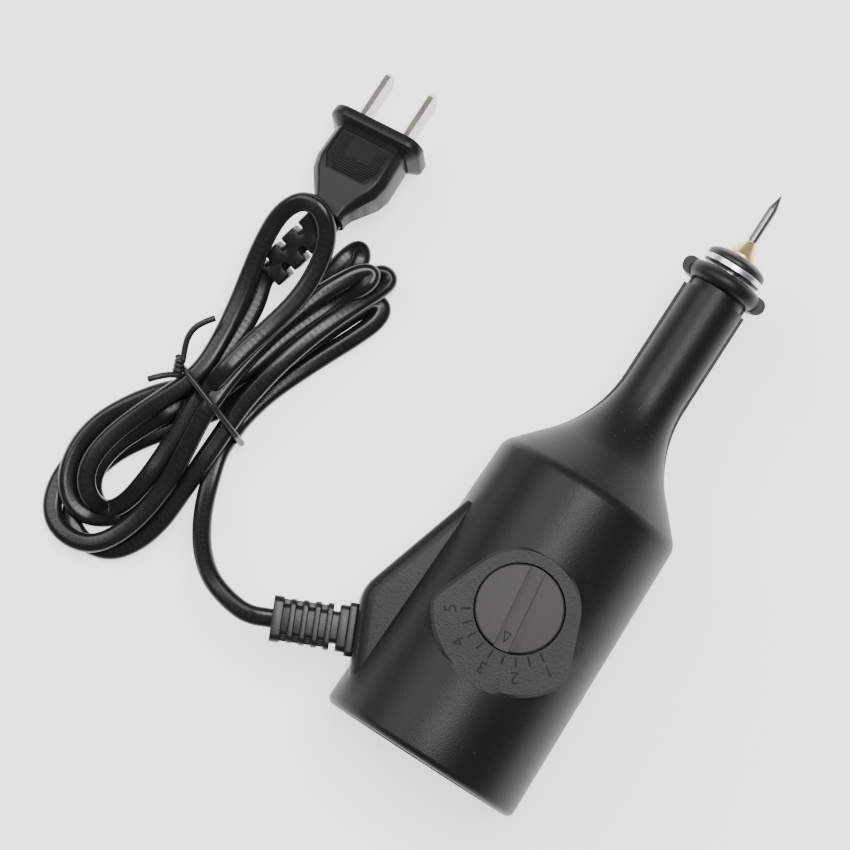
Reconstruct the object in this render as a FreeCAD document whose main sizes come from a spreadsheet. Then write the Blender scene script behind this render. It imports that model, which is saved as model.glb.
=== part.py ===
"""Vibrating electric engraver with its flex tied in a hank and a two-blade plug, lying dial up.

The tool is modelled about its own axis: +X runs from the rear rim (x = 0) to the engraving tip, +Z
goes up through the stroke dial and +Y towards the hump where the flex comes in.  One placement then
lays it down, barrel on the surface z = 0.  The flex, its tie and the plug are modelled where they lie.
"""
import FreeCAD
import Part
import Sketcher
import math
import os
from FreeCAD import Placement, Rotation, Vector

SIZES = [
    # name, value, what it is (lengths in millimetres, angles in degrees)
    ("rear_radius", 27.2, "barrel radius at the rear rim"),
    ("shoulder_x", 78.6, "where the straight barrel ends"),
    ("shoulder_radius", 25.2, "barrel radius at the shoulder"),
    ("flare_angle", 42.0, "slope of the flare between the shoulder and the neck"),
    ("upper_neck_radius", 8.2, "neck radius of the upper shell"),
    ("lower_neck_radius", 8.9, "neck radius of the lower shell, a little proud of the upper one"),
    ("neck_bore", 6.0, "inner radius of the neck, and of the front bush's seat"),
    ("groove_x", 136.6, "end of the neck, where the groove behind the collar starts"),
    ("groove_width", 2.2, "width of that groove"),
    ("groove_depth", 0.9, "depth of that groove"),
    ("collar_length", 4.6, "length of the collar in front of the groove"),
    ("upper_collar", 9.9, "collar radius on the upper shell"),
    ("lower_collar", 11.9, "collar radius on the lower shell"),
    ("collar_round", 2.2, "rounding of the collar's edges"),
    ("wall", 2.2, "wall of both shells"),
    ("rim_round", 2.0, "rounding of the rear rim"),
    ("rim_inner_round", 0.6, "rounding of the rim towards the rear plate"),
    ("shoulder_round", 5.0, "rounding of the shoulder"),
    ("flare_round", 32.0, "hollow rounding where the flare meets the neck"),
    ("fit_gap", 0.1, "gap round a piece that is seated in another"),
    ("slip", 0.05, "radial clearance of a running fit"),
    ("safe_gap", 0.3, "gap between pieces that move past each other"),
    ("plate_radius", 23.6, "radius of the rear plate"),
    ("plate_thickness", 1.1, "thickness of the rear plate"),
    ("plate_sink", 0.3, "how far the rear plate lies below the rim"),
    ("hump_peak_x", 28.0, "hump corner along the tool"),
    ("hump_peak_y", 34.9, "hump corner across the tool"),
    ("hump_front_x", 60.4, "where the hump's long slope runs out inside the barrel wall"),
    ("hump_front_y", 25.0, "the same, across the tool"),
    ("hump_rear_x", 8.0, "where the hump's end face runs out inside the barrel wall"),
    ("hump_root", 23.0, "inner side of the hump, inside the barrel wall"),
    ("hump_half_height", 11.0, "half of the hump's height"),
    ("hump_corner_round", 10.0, "rounding of the hump's corner in plan"),
    ("hump_edge_round", 3.6, "rounding of the hump's long edges"),
    ("exit_angle", 24.6, "how far the hump's end face is turned to the rear"),
    ("exit_x", 18.4, "middle of the flex outlet along the tool"),
    ("chamber_rear", 12.8, "rear end of the hollow in the hump"),
    ("chamber_front", 50.0, "front end of the hollow in the hump"),
    ("chamber_root", 20.5, "inner side of that hollow, open to the barrel"),
    ("rib_width", 2.5, "width of the ribs that hold the core"),
    ("rib_bite", 0.8, "how far a rib runs into the wall"),
    ("dial_x", 44.0, "dial axis along the tool"),
    ("dial_plane", 25.8, "height of the flat round the dial above the tool axis"),
    ("dial_front", 15.2, "radius of the flat towards the nose"),
    ("dial_fan", 21.8, "radius of the flat's fan towards the rear"),
    ("dial_fan_half", 60.0, "half angle of the fan, each side of the tool axis"),
    ("dial_corner", 4.0, "rounding of the fan's corners"),
    ("dial_bevel", 1.0, "height of the bevel round the flat"),
    ("dial_deck", 2.2, "thickness of the flat itself"),
    ("crown_height", 4.0, "height cleared above the flat"),
    ("well_wall", 2.0, "wall of the round well under the knob"),
    ("well_depth", 5.3, "depth of the well below the flat"),
    ("well_floor", 3.0, "thickness of the well's floor"),
    ("knob_radius", 10.95, "radius of the dial knob"),
    ("knob_gap", 0.4, "gap round the knob"),
    ("knob_proud", 0.7, "how far the knob stands above the flat"),
    ("knob_slot", 4.2, "width of the slot across the knob"),
    ("knob_slot_depth", 1.6, "depth of that slot"),
    ("knob_edge_round", 0.5, "rounding of the knob's top edge"),
    ("pointer_angle", 187.4, "direction of the knob's pointer at rest"),
    ("pointer_length", 2.6, "length of the triangle on the slot's floor"),
    ("pointer_width", 1.3, "width of the triangle"),
    ("pointer_height", 0.3, "height of the triangle"),
    ("mark_inner", 11.9, "where the scale marks start from the dial axis"),
    ("mark_length", 2.4, "length of a scale mark"),
    ("mark_width", 0.45, "width of a scale mark"),
    ("mark_depth", 0.25, "depth of a scale mark"),
    ("mark_pitch", 14.4, "angle from one scale mark to the next"),
    ("dial_washer_outer", 9.0, "outer radius of the friction washer"),
    ("dial_washer_inner", 4.5, "inner radius of the friction washer"),
    ("dial_washer_thickness", 0.6, "thickness of the friction washer"),
    ("spindle_radius", 2.5, "radius of the dial spindle"),
    ("spindle_seat", 2.5, "how far the spindle stands in the knob"),
    ("cam_radius", 4.0, "radius of the cam"),
    ("cam_offset", 0.75, "eccentricity of the cam"),
    ("cam_angle", -95.0, "direction of the cam's offset at rest"),
    ("cam_bottom", 4.0, "height of the cam's underside above the tool axis"),
    ("cam_height", 3.6, "height of the cam"),
    ("cam_reach", 0.53, "how far the cam's offset reaches forward at the shortest stroke"),
    ("cam_gap", 0.85, "stroke left at the shortest setting"),
    ("clip_radius", 5.0, "radius of the spindle clip"),
    ("clip_thickness", 0.6, "thickness of the spindle clip"),
    ("core_x", 8.0, "rear end of the iron core"),
    ("core_length", 25.0, "length of the core"),
    ("core_width", 34.0, "width of the core"),
    ("core_stack", 16.0, "height of the core's stack of sheets"),
    ("core_yoke", 6.0, "thickness of the yoke"),
    ("core_leg", 10.0, "width of the middle leg"),
    ("core_side_leg", 5.0, "width of each side leg"),
    ("core_screw_y", 10.5, "core screws, across the tool"),
    ("core_screw_hole", 1.6, "radius of the core's screw holes"),
    ("post_radius", 3.1, "radius of the posts under the core"),
    ("post_depth", 23.0, "how deep the posts run below the tool axis"),
    ("bobbin_wall", 1.2, "wall of the coil bobbin"),
    ("bobbin_half_y", 11.6, "half width of the bobbin's flanges"),
    ("bobbin_half_z", 14.0, "half height of the bobbin's flanges"),
    ("bobbin_gap", 0.4, "gap between the bobbin and the yoke"),
    ("winding_step", 0.4, "how far the winding stays inside the flanges"),
    ("terminal_radius", 0.5, "radius of a coil terminal"),
    ("terminal_height", 2.6, "height of a coil terminal above the flange"),
    ("terminal_y", 6.0, "coil terminals, across the tool"),
    ("pole_gap", 2.4, "air gap between the core and the armature"),
    ("armature_thickness", 3.6, "thickness of the armature"),
    ("armature_half_y", 15.0, "half width of the armature"),
    ("rod_radius", 2.5, "radius of the drive rod"),
    ("rod_stand", 6.8, "how far the drive rod stands out of the collar"),
    ("tip_hole", 20.2, "depth of the hole in the rod that takes the tip"),
    ("stop_radius", 9.0, "radius of the stop collar"),
    ("stop_thickness", 2.5, "thickness of the stop collar"),
    ("guide_x", 55.0, "rear end of the rear guide"),
    ("guide_length", 8.0, "length of the rear guide"),
    ("guide_radius", 8.0, "outer radius of the rear guide"),
    ("guide_rib_width", 4.0, "width of the rib that holds the rear guide"),
    ("spring_wire", 0.5, "radius of the return spring's wire"),
    ("spring_radius", 4.3, "mean radius of the return spring"),
    ("spring_turns", 6.0, "turns of the return spring"),
    ("seat_x", 83.6, "rear face of the spring seat on the rod"),
    ("seat_radius", 6.2, "radius of the spring seat"),
    ("seat_thickness", 2.6, "thickness of the spring seat"),
    ("buffer_x", 86.6, "rear face of the rubber buffer"),
    ("buffer_thickness", 2.8, "thickness of the rubber buffer"),
    ("buffer_radius", 8.0, "outer radius of the rubber buffer"),
    ("bulkhead_width", 3.0, "width of the bulkhead behind the neck"),
    ("bulkhead_bore", 3.6, "radius of the hole in the bulkhead and the buffer"),
    ("bulkhead_outer", 12.4, "how far the bulkhead runs into the flare's wall"),
    ("bush_length", 21.0, "length of the front bush"),
    ("bush_sink", 0.5, "how far the front bush lies behind the collar's face"),
    ("washer_gap", 1.2, "gap between the collar and the nose washer"),
    ("washer_radius", 8.1, "radius of the nose washer"),
    ("washer_thickness", 1.7, "thickness of the nose washer"),
    ("boot_length", 3.6, "length of the rubber boot"),
    ("boot_front", 4.9, "radius of the boot's front rim"),
    ("boot_recess", 4.3, "radius of the recess round the chuck nut"),
    ("boot_floor", 2.3, "thickness of the boot at the rod"),
    ("nut_radius", 3.8, "radius of the chuck nut's base"),
    ("nut_band", 0.8, "length of the nut's cylindrical band"),
    ("nut_length", 5.3, "length of the chuck nut"),
    ("nut_front", 1.55, "radius of the nut's front end"),
    ("collet_radius", 1.9, "radius of the collet"),
    ("collet_length", 2.7, "length of the collet"),
    ("collet_slit", 0.35, "width of the collet's slits"),
    ("collet_root", 0.8, "uncut length at the rear of the collet"),
    ("tip_radius", 1.2, "radius of the engraving tip"),
    ("shank_radius", 1.0, "radius of the tip's shank inside the chuck"),
    ("shank_end", 11.0, "where the shank ends, in front of the collar"),
    ("tip_play", 2.0, "room behind the engraving tip in the rod"),
    ("tip_shoulder", 20.6, "where the tip's point starts, in front of the collar"),
    ("tip_end", 24.6, "the tip's point, in front of the collar"),
    ("tip_flat", 0.08, "radius left at the very point"),
    ("boss_radius", 3.5, "radius of the screw bosses"),
    ("boss_height", 9.5, "how far the upper bosses run from the parting plane"),
    ("boss_depth", 19.0, "how far the lower bosses run before they are cut to the barrel"),
    ("boss_rear_x", 7.6, "rear pair of bosses, along the tool"),
    ("boss_rear_y", 20.6, "rear pair of bosses, across the tool"),
    ("boss_mid_x", 50.0, "middle pair of bosses, along the tool"),
    ("boss_mid_y", 20.4, "middle pair of bosses, across the tool"),
    ("boss_front_x", 70.0, "front pair of bosses, along the tool"),
    ("boss_front_y", 17.8, "front pair of bosses, across the tool"),
    ("screw_radius", 1.45, "radius of a housing screw's thread"),
    ("screw_hole", 1.7, "radius of the clearance hole for it"),
    ("screw_head", 2.8, "radius of a screw head"),
    ("screw_head_height", 2.0, "height of a screw head"),
    ("screw_seat", 8.0, "how far the head's seat lies below the parting plane"),
    ("screw_grip", 7.5, "how far a screw runs into the upper boss"),
    ("counterbore", 3.0, "radius of the counterbore for a head"),
    ("relief_neck_y", 4.2, "half width of the strain relief's neck"),
    ("relief_neck_z", 3.1, "half height of the strain relief's neck"),
    ("relief_head_y", 5.6, "half width of the strain relief's inner head"),
    ("relief_head_z", 4.2, "half height of the strain relief's inner head"),
    ("relief_head_length", 2.2, "length of the inner head"),
    ("relief_flange_y", 6.75, "half width of the outer flange"),
    ("relief_flange_z", 5.0, "half height of the outer flange"),
    ("relief_flange", 2.0, "thickness of the outer flange"),
    ("relief_step_y", 5.9, "half width of the step beside the flange"),
    ("relief_step_z", 4.4, "half height of the step and the ribs"),
    ("relief_step", 2.3, "length of the step"),
    ("relief_rib", 1.6, "thickness of a rib"),
    ("relief_pitch", 3.2, "distance from one rib to the next"),
    ("relief_rib_start", 6.0, "where the first rib starts"),
    ("relief_core_y", 4.1, "half width between the ribs"),
    ("relief_core_z", 3.2, "half height between the ribs"),
    ("relief_end_rib", 2.4, "thickness of the last rib"),
    ("relief_length", 21.0, "length outside the hump"),
    ("wire_radius", 0.7, "radius of an inner lead"),
    ("crimp_radius", 2.0, "radius of a crimped joint"),
    ("crimp_length", 9.0, "length of a crimped joint"),
    ("crimp_x", 30.0, "rear end of the crimped joints"),
    ("crimp_y", 26.6, "crimped joints, across the tool"),
    ("crimp_z", 2.6, "crimped joints, above and below the parting plane"),
    ("flex_radius", 2.5, "radius of a round cord with the flat flex's section"),
    ("lead_straight", 6.0, "straight start of the flex behind the strain relief"),
    ("hank_height", 14.0, "height of the tied hank"),
    ("loop_bottom", 9.0, "underside of the loop that rides over the plug's sleeve"),
    ("loop_top", 27.0, "top of that loop"),
    ("tie_thickness", 1.4, "thickness of the tie wire"),
    ("tie_width", 1.4, "width of the tie wire"),
    ("tie_span", 22.0, "outer width of the tie across the hank"),
    ("tie_x", -37.2, "middle of the tie"),
    ("tie_y", 88.3, "middle of the tie"),
    ("tie_turn", 70.9, "direction of the tie across the hank"),
    ("plug_x", 43.4, "middle of the plug's front face"),
    ("plug_y", 89.3, "middle of the plug's front face"),
    ("plug_z", 9.98, "middle of the plug's front face"),
    ("plug_pitch", 16.0, "how far the plug's blades point down"),
    ("plug_roll", -17.0, "how far the plug is rolled about its axis"),
    ("flange_half_y", 13.0, "half width of the plug's flange"),
    ("flange_half_z", 8.0, "half height of the plug's flange"),
    ("flange_thickness", 4.0, "thickness of the plug's flange"),
    ("flange_corner", 4.5, "rounding of the flange's corners"),
    ("grip_half_y", 10.2, "half width of the plug's grip"),
    ("grip_half_z", 6.6, "half height of the plug's grip"),
    ("grip_length", 11.0, "length of the straight part of the grip"),
    ("taper_length", 10.0, "length of the grip's taper"),
    ("plug_neck_y", 4.6, "half width of the plug's neck"),
    ("plug_neck_z", 4.0, "half height of the plug's neck"),
    ("plug_neck", 2.0, "length of the plug's neck"),
    ("panel_half_y", 7.4, "half width of the ridged panel on the grip"),
    ("panel_length", 9.0, "length of the ridged panel"),
    ("panel_depth", 0.5, "depth of the panel"),
    ("blade_height", 6.3, "width of a blade"),
    ("blade_thickness", 1.5, "thickness of a blade"),
    ("blade_spacing", 12.7, "distance between the blades"),
    ("blade_length", 15.4, "length of a blade outside the plug"),
    ("blade_root", 6.0, "length of a blade inside the plug"),
    ("blade_chamfer", 1.2, "chamfer on a blade's end"),
    ("insert_half_y", 8.4, "half width of the hard insert in the plug"),
    ("insert_half_z", 4.6, "half height of the hard insert"),
    ("insert_thickness", 3.0, "thickness of the hard insert"),
    ("insert_x", 1.2, "how far the insert lies behind the front face"),
    ("sleeve_length", 20.0, "length of the plug's ribbed sleeve"),
    ("sleeve_half_y", 4.2, "half width of the sleeve"),
    ("sleeve_half_z", 3.6, "half height of the sleeve"),
    ("sleeve_notch", 1.6, "depth of the notches in the sleeve"),
    ("sleeve_notch_width", 2.2, "width of a notch"),
    ("sleeve_pitch", 6.0, "distance from one notch to the next"),
    ("sleeve_turn", 166.0, "direction of the sleeve from the plug"),
    ("sleeve_drop", 16.0, "how far the sleeve slopes down to the hank"),
]

# The flex's way from the strain relief down to the hank, in the frame of the finished part.
LEAD_ROUTE = [
    (-76.1, 57.5, 24.2),
    (-74.2, 64.0, 20.9),
    (-70.4, 69.0, 16.8),
    (-65.4, 72.9, 12.7),
    (-59.5, 76.0, 9.3),
    (-52.7, 78.4, 7.1),
    (-46.4, 80.2, 6.2),
]

# Outline of the tied hank, seen from above.
HANK_OUTLINE = [
    (-86.9, 94.0), (-87.6, 102.5), (-83.5, 109.8), (-75.0, 113.6), (-62.0, 112.8), (-50.5, 108.4),
    (-41.5, 101.4), (-33.5, 98.2), (-20.0, 97.4), (-6.0, 98.4), (4.0, 93.0), (16.8, 83.0),
    (17.4, 77.0), (14.0, 65.6), (5.5, 62.6), (-2.5, 63.8), (-24.0, 74.8), (-37.3, 78.4),
    (-55.0, 80.2), (-70.0, 81.0), (-80.5, 84.2),
]

# Outline of the single loop that rides over the plug's sleeve, seen from above.
LOOP_OUTLINE = [
    (-30.0, 86.0), (-30.0, 98.0), (-13.0, 99.4), (2.8, 103.4), (12.7, 103.6), (20.2, 97.8),
    (20.6, 90.0), (15.8, 83.2), (6.0, 80.6), (-13.0, 84.0),
]


class Size:
    """A size and the spreadsheet formula that keeps a feature bound to it."""

    def __init__(self, value, formula):
        self.value = value
        self.formula = formula

    @staticmethod
    def of(other):
        return other if isinstance(other, Size) else Size(float(other), repr(float(other)))

    def _join(self, other, sign, value, flip=False):
        other = Size.of(other)
        left, right = (other, self) if flip else (self, other)
        return Size(value(left.value, right.value), f"({left.formula} {sign} {right.formula})")

    def __add__(self, other):
        return self._join(other, "+", lambda a, b: a + b)

    def __radd__(self, other):
        return self._join(other, "+", lambda a, b: a + b, flip=True)

    def __sub__(self, other):
        return self._join(other, "-", lambda a, b: a - b)

    def __rsub__(self, other):
        return self._join(other, "-", lambda a, b: a - b, flip=True)

    def __mul__(self, other):
        return self._join(other, "*", lambda a, b: a * b)

    def __rmul__(self, other):
        return self._join(other, "*", lambda a, b: a * b, flip=True)

    def __truediv__(self, other):
        return self._join(other, "/", lambda a, b: a / b)

    def __neg__(self):
        return Size(-self.value, f"(0 - {self.formula})")

    def sin(self):
        return Size(math.sin(math.radians(self.value)), f"sin({self.formula} * 1 deg)")

    def cos(self):
        return Size(math.cos(math.radians(self.value)), f"cos({self.formula} * 1 deg)")

    def tan(self):
        return Size(math.tan(math.radians(self.value)), f"tan({self.formula} * 1 deg)")


def root(square):
    """The square root of a size."""
    return Size(math.sqrt(square.value), f"sqrt({square.formula})")


doc = FreeCAD.newDocument("Engraver")


def fill_sheet():
    """Write every driving size into the spreadsheet and return the sizes by name."""
    sheet = doc.addObject("Spreadsheet::Sheet", "Sizes")
    named = {}
    for row, (name, value, meaning) in enumerate(SIZES, start=1):
        sheet.set(f"A{row}", meaning)
        sheet.set(f"B{row}", str(value))
        sheet.setAlias(f"B{row}", name)
        named[name] = Size(value, f"Sizes.{name}")
    doc.recompute()
    return named


class Named:
    """The sheet's sizes as attributes."""

    def __init__(self, sizes):
        self.__dict__.update(sizes)


D = Named(fill_sheet())
NODES = []


# ---------------------------------------------------------------------------------------------
# Features bound to the sheet
# ---------------------------------------------------------------------------------------------

def new_body(label):
    body = doc.addObject("PartDesign::Body", label)
    body.Label = label
    return body


def sketch_on(body, role, height=None):
    """A sketch on one of the body's own origin planes, raised by a bound height."""
    sketch = body.newObject("Sketcher::SketchObject", f"{body.Name}_sketch")
    plane = next(item for item in body.Origin.OriginFeatures if item.Role == role)
    sketch.AttachmentSupport = [(plane, "")]
    sketch.MapMode = "FlatFace"
    if height is not None:
        sketch.setExpression("AttachmentOffset.Base.z", Size.of(height).formula)
    return sketch


def pin_point(sketch, geometry, point, x, y):
    """Hold a sketch point at bound distances from the origin."""
    for kind, place, axis in (("DistanceX", Size.of(x), -2), ("DistanceY", Size.of(y), -1)):
        if place.value == 0.0:
            sketch.addConstraint(Sketcher.Constraint("PointOnObject", geometry, point, axis))
            continue
        number = sketch.addConstraint(
            Sketcher.Constraint(kind, -1, 1, geometry, point, place.value)
        )
        sketch.setExpression(f"Constraints[{number}]", place.formula)


def add_outline(sketch, corners):
    """A closed polygon with each corner held at bound distances."""
    places = [(Size.of(x), Size.of(y)) for x, y in corners]
    ends = [Vector(x.value, y.value, 0) for x, y in places]
    start = sketch.GeometryCount
    count = len(ends)
    for index, end in enumerate(ends):
        sketch.addGeometry(Part.LineSegment(end, ends[(index + 1) % count]), False)
    for index in range(count):
        following = start + (index + 1) % count
        sketch.addConstraint(Sketcher.Constraint("Coincident", start + index, 2, following, 1))
    for index, (x, y) in enumerate(places):
        pin_point(sketch, start + index, 1, x, y)


def add_circle(sketch, x, y, radius):
    radius = Size.of(radius)
    centre = Vector(Size.of(x).value, Size.of(y).value, 0)
    number = sketch.addGeometry(Part.Circle(centre, Vector(0, 0, 1), radius.value), False)
    pin_point(sketch, number, 3, x, y)
    constraint = sketch.addConstraint(Sketcher.Constraint("Radius", number, radius.value))
    sketch.setExpression(f"Constraints[{constraint}]", radius.formula)


def rectangle(low_x, high_x, low_y, high_y):
    return [(low_x, low_y), (high_x, low_y), (high_x, high_y), (low_x, high_y)]


def centred(half_x, half_y):
    return rectangle(-Size.of(half_x), half_x, -Size.of(half_y), half_y)


def extrude(body, kind, sketch, length, both=False, reverse=False, taper=None):
    """A Pad or a Pocket of a sketch, of bound length."""
    feature = body.newObject(f"PartDesign::{kind}", f"{body.Name}_{kind}")
    feature.Profile = sketch
    feature.setExpression("Length", Size.of(length).formula)
    feature.Midplane = both
    feature.Reversed = reverse
    if taper is not None:
        feature.TaperAngle = taper
    body.Tip = feature
    sketch.Visibility = False
    return feature


def revolve(body, kind, sketch, axis="H_Axis", angle=360.0, reverse=False):
    """A Revolution or a Groove of a sketch about one of its own axes."""
    feature = body.newObject(f"PartDesign::{kind}", f"{body.Name}_{kind}")
    feature.Profile = sketch
    feature.ReferenceAxis = (sketch, [axis])
    feature.Angle = angle
    feature.Reversed = reverse
    body.Tip = feature
    return feature


def turned(label, *outlines, axis="H_Axis", role="XY_Plane"):
    """A turned piece: each outline is (along, radius) about X, or (radius, along) about Z."""
    body = new_body(label)
    sketch = sketch_on(body, role)
    for outline in outlines:
        add_outline(sketch, outline)
    revolve(body, "Revolution", sketch, axis)
    return body


def ring(rear, front, inner, outer):
    return [(rear, inner), (front, inner), (front, outer), (rear, outer)]


def chosen_edges(shape, test):
    """Names of the edges whose middle passes the test."""
    names = []
    for number, edge in enumerate(shape.Edges, start=1):
        middle = edge.valueAt((edge.FirstParameter + edge.LastParameter) / 2)
        if test(edge, middle):
            names.append(f"Edge{number}")
    return names


def round_edges(body, radius, test, kind="Fillet"):
    """Round or bevel the edges of the body's tip that pass the test."""
    doc.recompute()
    base = body.Tip
    names = chosen_edges(base.Shape, test)
    if not names:
        raise RuntimeError(f"{body.Label}: no edge found for a {kind}")
    feature = body.newObject(f"PartDesign::{kind}", f"{body.Name}_{kind}")
    feature.Base = (base, names)
    feature.setExpression("Radius" if kind == "Fillet" else "Size", Size.of(radius).formula)
    body.Tip = feature
    return feature


def rim_test(x, radius):
    """True for the round edges about X at a given place and radius."""
    def test(edge, middle):
        if not hasattr(edge.Curve, "Radius"):
            return False
        near_x = abs(middle.x - x.value) < 0.05
        return near_x and abs(edge.Curve.Radius - radius.value) < 0.05
    return test


# ---------------------------------------------------------------------------------------------
# Placements
# ---------------------------------------------------------------------------------------------

COLLAR_X = D.groove_x + D.groove_width
NOSE_X = COLLAR_X + D.collar_length
WASHER_X = NOSE_X + D.washer_gap
ROD_END = NOSE_X + D.rod_stand


def lying_placement():
    """Lay the tool on the line along which its tapered barrel touches the surface."""
    rear = D.rear_radius.value
    lean = math.atan2(rear - D.shoulder_radius.value, D.shoulder_x.value)
    rim = D.rim_round.value
    rear_end = rim * math.cos(lean) - (rear - rim) * math.sin(lean) - rim
    front_end = (NOSE_X + D.tip_end).value * math.cos(lean)
    slope = math.atan2(
        D.hump_peak_y.value - D.hump_front_y.value, D.hump_front_x.value - D.hump_peak_x.value
    )
    face = math.radians(D.exit_angle.value)
    corner = D.hump_corner_round.value
    sag = corner * (math.cos((face - slope) / 2) / math.cos((face + slope) / 2) - 1)
    hump_side = D.hump_peak_y.value - sag
    barrel_side = -rear + rim * math.tan(lean)
    place = Vector(
        -(rear_end + front_end) / 2, -(hump_side + barrel_side) / 2, rear * math.cos(lean)
    )
    return Placement(place, Rotation(Vector(0, 1, 0), math.degrees(lean)))


TOOL = lying_placement()
DIAL = TOOL * Placement(Vector(D.dial_x.value, 0, 0), Rotation())


def keep(piece, placement=TOOL):
    """Place a finished piece and list it as a node."""
    piece.Placement = placement
    NODES.append(piece)
    return piece


def shape_node(label, shape, placement=Placement()):
    """A node whose shape is built by Part's own functions from the sheet's values."""
    piece = doc.addObject("Part::Feature", label)
    piece.Label = label
    piece.Shape = shape
    piece.Placement = placement
    NODES.append(piece)
    return piece


def repeated(label, master, places, placement=TOOL):
    """Copies of one piece at several places, kept as separate solids of one node."""
    doc.recompute()
    copies = []
    for place in places:
        copy = master.Shape.copy()
        copy.Placement = Placement(place, Rotation())
        copies.append(copy)
    return shape_node(label, Part.makeCompound(copies), placement)


# ---------------------------------------------------------------------------------------------
# Housing
# ---------------------------------------------------------------------------------------------

HALF_FLARE = (D.flare_angle / 2).tan()
FLARE = D.flare_angle.tan()
INNER_SHOULDER_X = D.shoulder_x - D.wall * HALF_FLARE
INNER_SHOULDER_RADIUS = D.shoulder_radius - D.wall
INNER_NECK_X = INNER_SHOULDER_X + (INNER_SHOULDER_RADIUS - D.neck_bore) / FLARE
REAR_SEAT = D.plate_sink + D.plate_thickness
BARREL_TAPER = (D.rear_radius - D.shoulder_radius) / D.shoulder_x
CORE_CORNER = root(D.core_width * D.core_width + D.core_stack * D.core_stack) / 2
BULKHEAD_X = D.buffer_x + D.buffer_thickness
FACE_SLOPE = D.exit_angle.tan()
EXIT_Y = D.hump_peak_y - (D.hump_peak_x - D.exit_x) * FACE_SLOPE
WELL_RADIUS = D.knob_radius + D.knob_gap
WELL_BOTTOM = D.dial_plane - D.well_depth
BOSSES = [
    (D.boss_rear_x, D.boss_rear_y),
    (D.boss_mid_x, D.boss_mid_y),
    (D.boss_front_x, D.boss_front_y),
]
BOSS_PLACES = [(x, y * side) for x, y in BOSSES for side in (1, -1)]


def barrel_inside(x):
    """Inner radius of the barrel at a place along it."""
    return D.rear_radius - D.wall - BARREL_TAPER * x


def flare_corner(neck_radius):
    return D.shoulder_x + (D.shoulder_radius - neck_radius) / FLARE


def add_skin(body, neck_radius, collar_radius, lower):
    """The half bottle of one shell, with its rounded rims."""
    groove_radius = neck_radius - D.groove_depth
    rear_floor = REAR_SEAT + D.wall
    sketch = sketch_on(body, "XY_Plane")
    add_outline(sketch, [
        (0, D.rear_radius),
        (D.shoulder_x, D.shoulder_radius),
        (flare_corner(neck_radius), neck_radius),
        (D.groove_x, neck_radius),
        (D.groove_x, groove_radius),
        (COLLAR_X, groove_radius),
        (COLLAR_X, collar_radius),
        (NOSE_X, collar_radius),
        (NOSE_X, D.neck_bore),
        (INNER_NECK_X, D.neck_bore),
        (INNER_SHOULDER_X, INNER_SHOULDER_RADIUS),
        (rear_floor, barrel_inside(rear_floor)),
        (rear_floor, 0),
        (REAR_SEAT, 0),
        (REAR_SEAT, D.plate_radius + D.fit_gap),
        (0, D.plate_radius + D.fit_gap),
    ])
    revolve(body, "Revolution", sketch, angle=180.0, reverse=lower)
    zero = Size.of(0)
    round_edges(body, D.flare_round, rim_test(flare_corner(neck_radius), neck_radius))
    round_edges(body, D.shoulder_round, rim_test(D.shoulder_x, D.shoulder_radius))
    round_edges(body, D.rim_round, rim_test(zero, D.rear_radius))
    round_edges(body, D.rim_inner_round, rim_test(zero, D.plate_radius + D.fit_gap))
    for x in (COLLAR_X, NOSE_X):
        round_edges(body, D.collar_round, rim_test(x, collar_radius))


def add_ribs(body, lower):
    """The half rings that hold the core, the rear guide and the buffer."""
    sketch = sketch_on(body, "XY_Plane")
    rear_rib = D.core_x + D.core_yoke - D.rib_width
    front_rib = D.core_x + D.core_length - D.core_yoke
    for x in (rear_rib, front_rib):
        outer = barrel_inside(x) + D.rib_bite
        add_outline(sketch, ring(x, x + D.rib_width, CORE_CORNER + D.fit_gap, outer))
    guide_rib = D.guide_x + (D.guide_length - D.guide_rib_width) / 2
    outer = barrel_inside(guide_rib) + D.rib_bite
    add_outline(sketch, ring(guide_rib, guide_rib + D.guide_rib_width, D.guide_radius, outer))
    add_outline(
        sketch,
        ring(BULKHEAD_X, BULKHEAD_X + D.bulkhead_width, D.bulkhead_bore, D.bulkhead_outer),
    )
    revolve(body, "Revolution", sketch, angle=180.0, reverse=lower)


def exit_point(across, outward):
    """A point in plan, measured from the outlet along the end face and out of it."""
    turn_sin = D.exit_angle.sin()
    turn_cos = D.exit_angle.cos()
    x = D.exit_x + across * turn_cos - outward * turn_sin
    y = EXIT_Y + across * turn_sin + outward * turn_cos
    return (x, y)


def add_hump(body, lower):
    """The side hump as a solid block with rounded corner and long edges."""
    rear_y = D.hump_peak_y - (D.hump_peak_x - D.hump_rear_x) * FACE_SLOPE
    sketch = sketch_on(body, "XY_Plane")
    add_outline(sketch, [
        (D.hump_rear_x, D.hump_root),
        (D.hump_rear_x, rear_y),
        (D.hump_peak_x, D.hump_peak_y),
        (D.hump_front_x, D.hump_front_y),
        (D.hump_front_x, D.hump_root),
    ])
    extrude(body, "Pad", sketch, D.hump_half_height, reverse=lower)
    top = D.hump_half_height.value

    def peak_edge(edge, middle):
        near = abs(middle.x - D.hump_peak_x.value) < 0.2
        return near and abs(middle.y - D.hump_peak_y.value) < 0.2 and abs(middle.z) > 0.5

    def long_edge(edge, middle):
        inside_x = D.hump_rear_x.value + 0.5 < middle.x < D.hump_front_x.value - 0.5
        return abs(abs(middle.z) - top) < 0.01 and inside_x and middle.y > D.hump_root.value + 0.5

    round_edges(body, D.hump_corner_round, peak_edge)
    round_edges(body, D.hump_edge_round, long_edge)


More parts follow.
